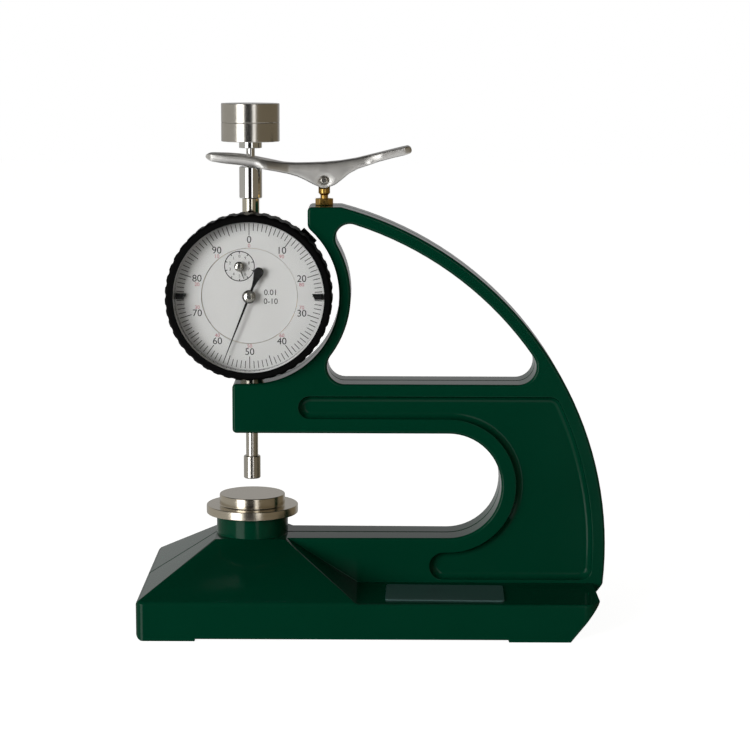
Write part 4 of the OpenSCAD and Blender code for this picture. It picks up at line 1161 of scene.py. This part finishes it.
class GAUGE_OT_lens(bpy.types.Operator):
    """Turns the clear lens with a smooth dome"""

    bl_idname = "gauge.lens"
    bl_label = "Lens"

    def execute(self, context):
        low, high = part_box("lens")
        front = -low.y
        back = -high.y
        skirt_r = (high.x - low.x) / 2
        inner_r = skirt_r - 0.9 * MM
        edge_r = 26.1 * MM
        dome_rise = 1.1 * MM
        thick = 1.4 * MM
        rim_step = 0.02 * MM
        steps = 12
        dome = []
        hollow = []
        for index in range(steps, 0, -1):
            share = index / steps
            dome.append((edge_r * share, front - dome_rise * share ** 2))
            hollow.append((inner_r * share, front - thick - dome_rise * (inner_r / edge_r * share) ** 2))
        rim = [(inner_r, back), (skirt_r, back), (skirt_r, front - dome_rise - rim_step)]
        outside = turned([*rim, *dome])
        inside = turned([(inner_r, back), *hollow])
        piece = joined([outside, inside])
        self.close(piece, back)
        stand_on(piece, (DIAL.x, 0, DIAL.z), faces_front=True)
        smoothed(piece)
        finish_piece(piece, "lens_clear", "bezel", "clear_lens", "clear_acrylic", "lens")
        return {"FINISHED"}

    def close(self, piece, back):
        """Takes out the two end discs at the dial's side, so that dome and hollow make one shell."""

        def is_end_disc(face):
            return len(face.vertices) > 10 and abs(face.center.z - back) < 0.001 * MM

        select_only(piece, is_end_disc, kind="FACE")
        bpy.ops.mesh.delete(type="FACE")
        merge_and_point_outwards()
        done_editing()


class GAUGE_OT_plate(bpy.types.Operator):
    """Lays the bare plate on the ledge"""

    bl_idname = "gauge.plate"
    bl_label = "Plate"

    def execute(self, context):
        settings = context.scene.gauge_plate
        thick = 0.5 * MM
        corner_r = 1.0 * MM
        deselect()
        bpy.ops.mesh.primitive_plane_add(size=1)
        piece = bpy.context.object
        edit(piece)
        bpy.ops.transform.resize(value=(settings.length, settings.width, 1), center_override=(0, 0, 0))
        bpy.ops.mesh.bevel(offset=corner_r, segments=4, affect="VERTICES")
        bpy.ops.mesh.select_all(action="SELECT")
        bpy.ops.mesh.extrude_region_move(TRANSFORM_OT_translate={"value": (0, 0, thick)})
        merge_and_point_outwards()
        done_editing()
        piece.rotation_euler = (0, 0, settings.turn)
        piece.location = (24.5 * MM, -26.0 * MM, LEDGE)
        bpy.ops.object.transform_apply(location=True, rotation=True, scale=True)
        bevelled(piece, width=0.12 * MM, segments=2)
        finish_piece(piece, "bare_plate", "stand", "polished_aluminium", "plate_face")
        return {"FINISHED"}


class GAUGE_OT_works(bpy.types.Operator):
    """Gives the pieces inside the indicator and the small screws their finishes"""

    bl_idname = "gauge.works"
    bl_label = "Works"

    def execute(self, context):
        finishes = {
            "brass": "old_brass",
            "bright_steel": "ground_finish",
            "dark_steel": "dark_finish",
            "spring_steel": "blued_spring",
            "ground_steel": "ground_finish",
            "case_metal": "satin_case",
        }
        for entry in frame["record"]["subparts"]:
            node = frame["nodes"][entry["node"]]
            if node.hide_render or entry["material_slot"] not in finishes:
                continue
            for slot in node.material_slots:
                slot.material = finish_named(finishes[entry["material_slot"]])
        return {"FINISHED"}


STEPS = (
    GAUGE_OT_studio,
    GAUGE_OT_casting,
    GAUGE_OT_anvil,
    GAUGE_OT_weights,
    GAUGE_OT_spindle,
    GAUGE_OT_lever,
    GAUGE_OT_bezel,
    GAUGE_OT_dial,
    GAUGE_OT_hands,
    GAUGE_OT_lens,
    GAUGE_OT_plate,
    GAUGE_OT_works,
)


class GAUGE_PT_pieces(bpy.types.Panel):
    """Lists the gauge's settings and the operators that make its pieces"""

    bl_label = "Dial thickness gauge"
    bl_idname = "GAUGE_PT_pieces"
    bl_space_type = "VIEW_3D"
    bl_region_type = "UI"
    bl_category = "Gauge"

    def draw(self, context):
        for name, group in SETTINGS.items():
            box = self.layout.box()
            for field in group.__annotations__:
                box.prop(getattr(context.scene, name), field)
        for step in STEPS:
            self.layout.operator(step.bl_idname)


CLASSES = (*SETTINGS.values(), *STEPS, GAUGE_PT_pieces)


def register():
    for cls in CLASSES:
        bpy.utils.register_class(cls)
    for name, group in SETTINGS.items():
        setattr(bpy.types.Scene, name, bpy.props.PointerProperty(type=group))


def unregister():
    for name in SETTINGS:
        delattr(bpy.types.Scene, name)
    for cls in reversed(CLASSES):
        bpy.utils.unregister_class(cls)


def main():
    register()
    for step in STEPS:
        getattr(bpy.ops.gauge, step.bl_idname.split(".")[1])()


if __name__ == "__main__":
    main()
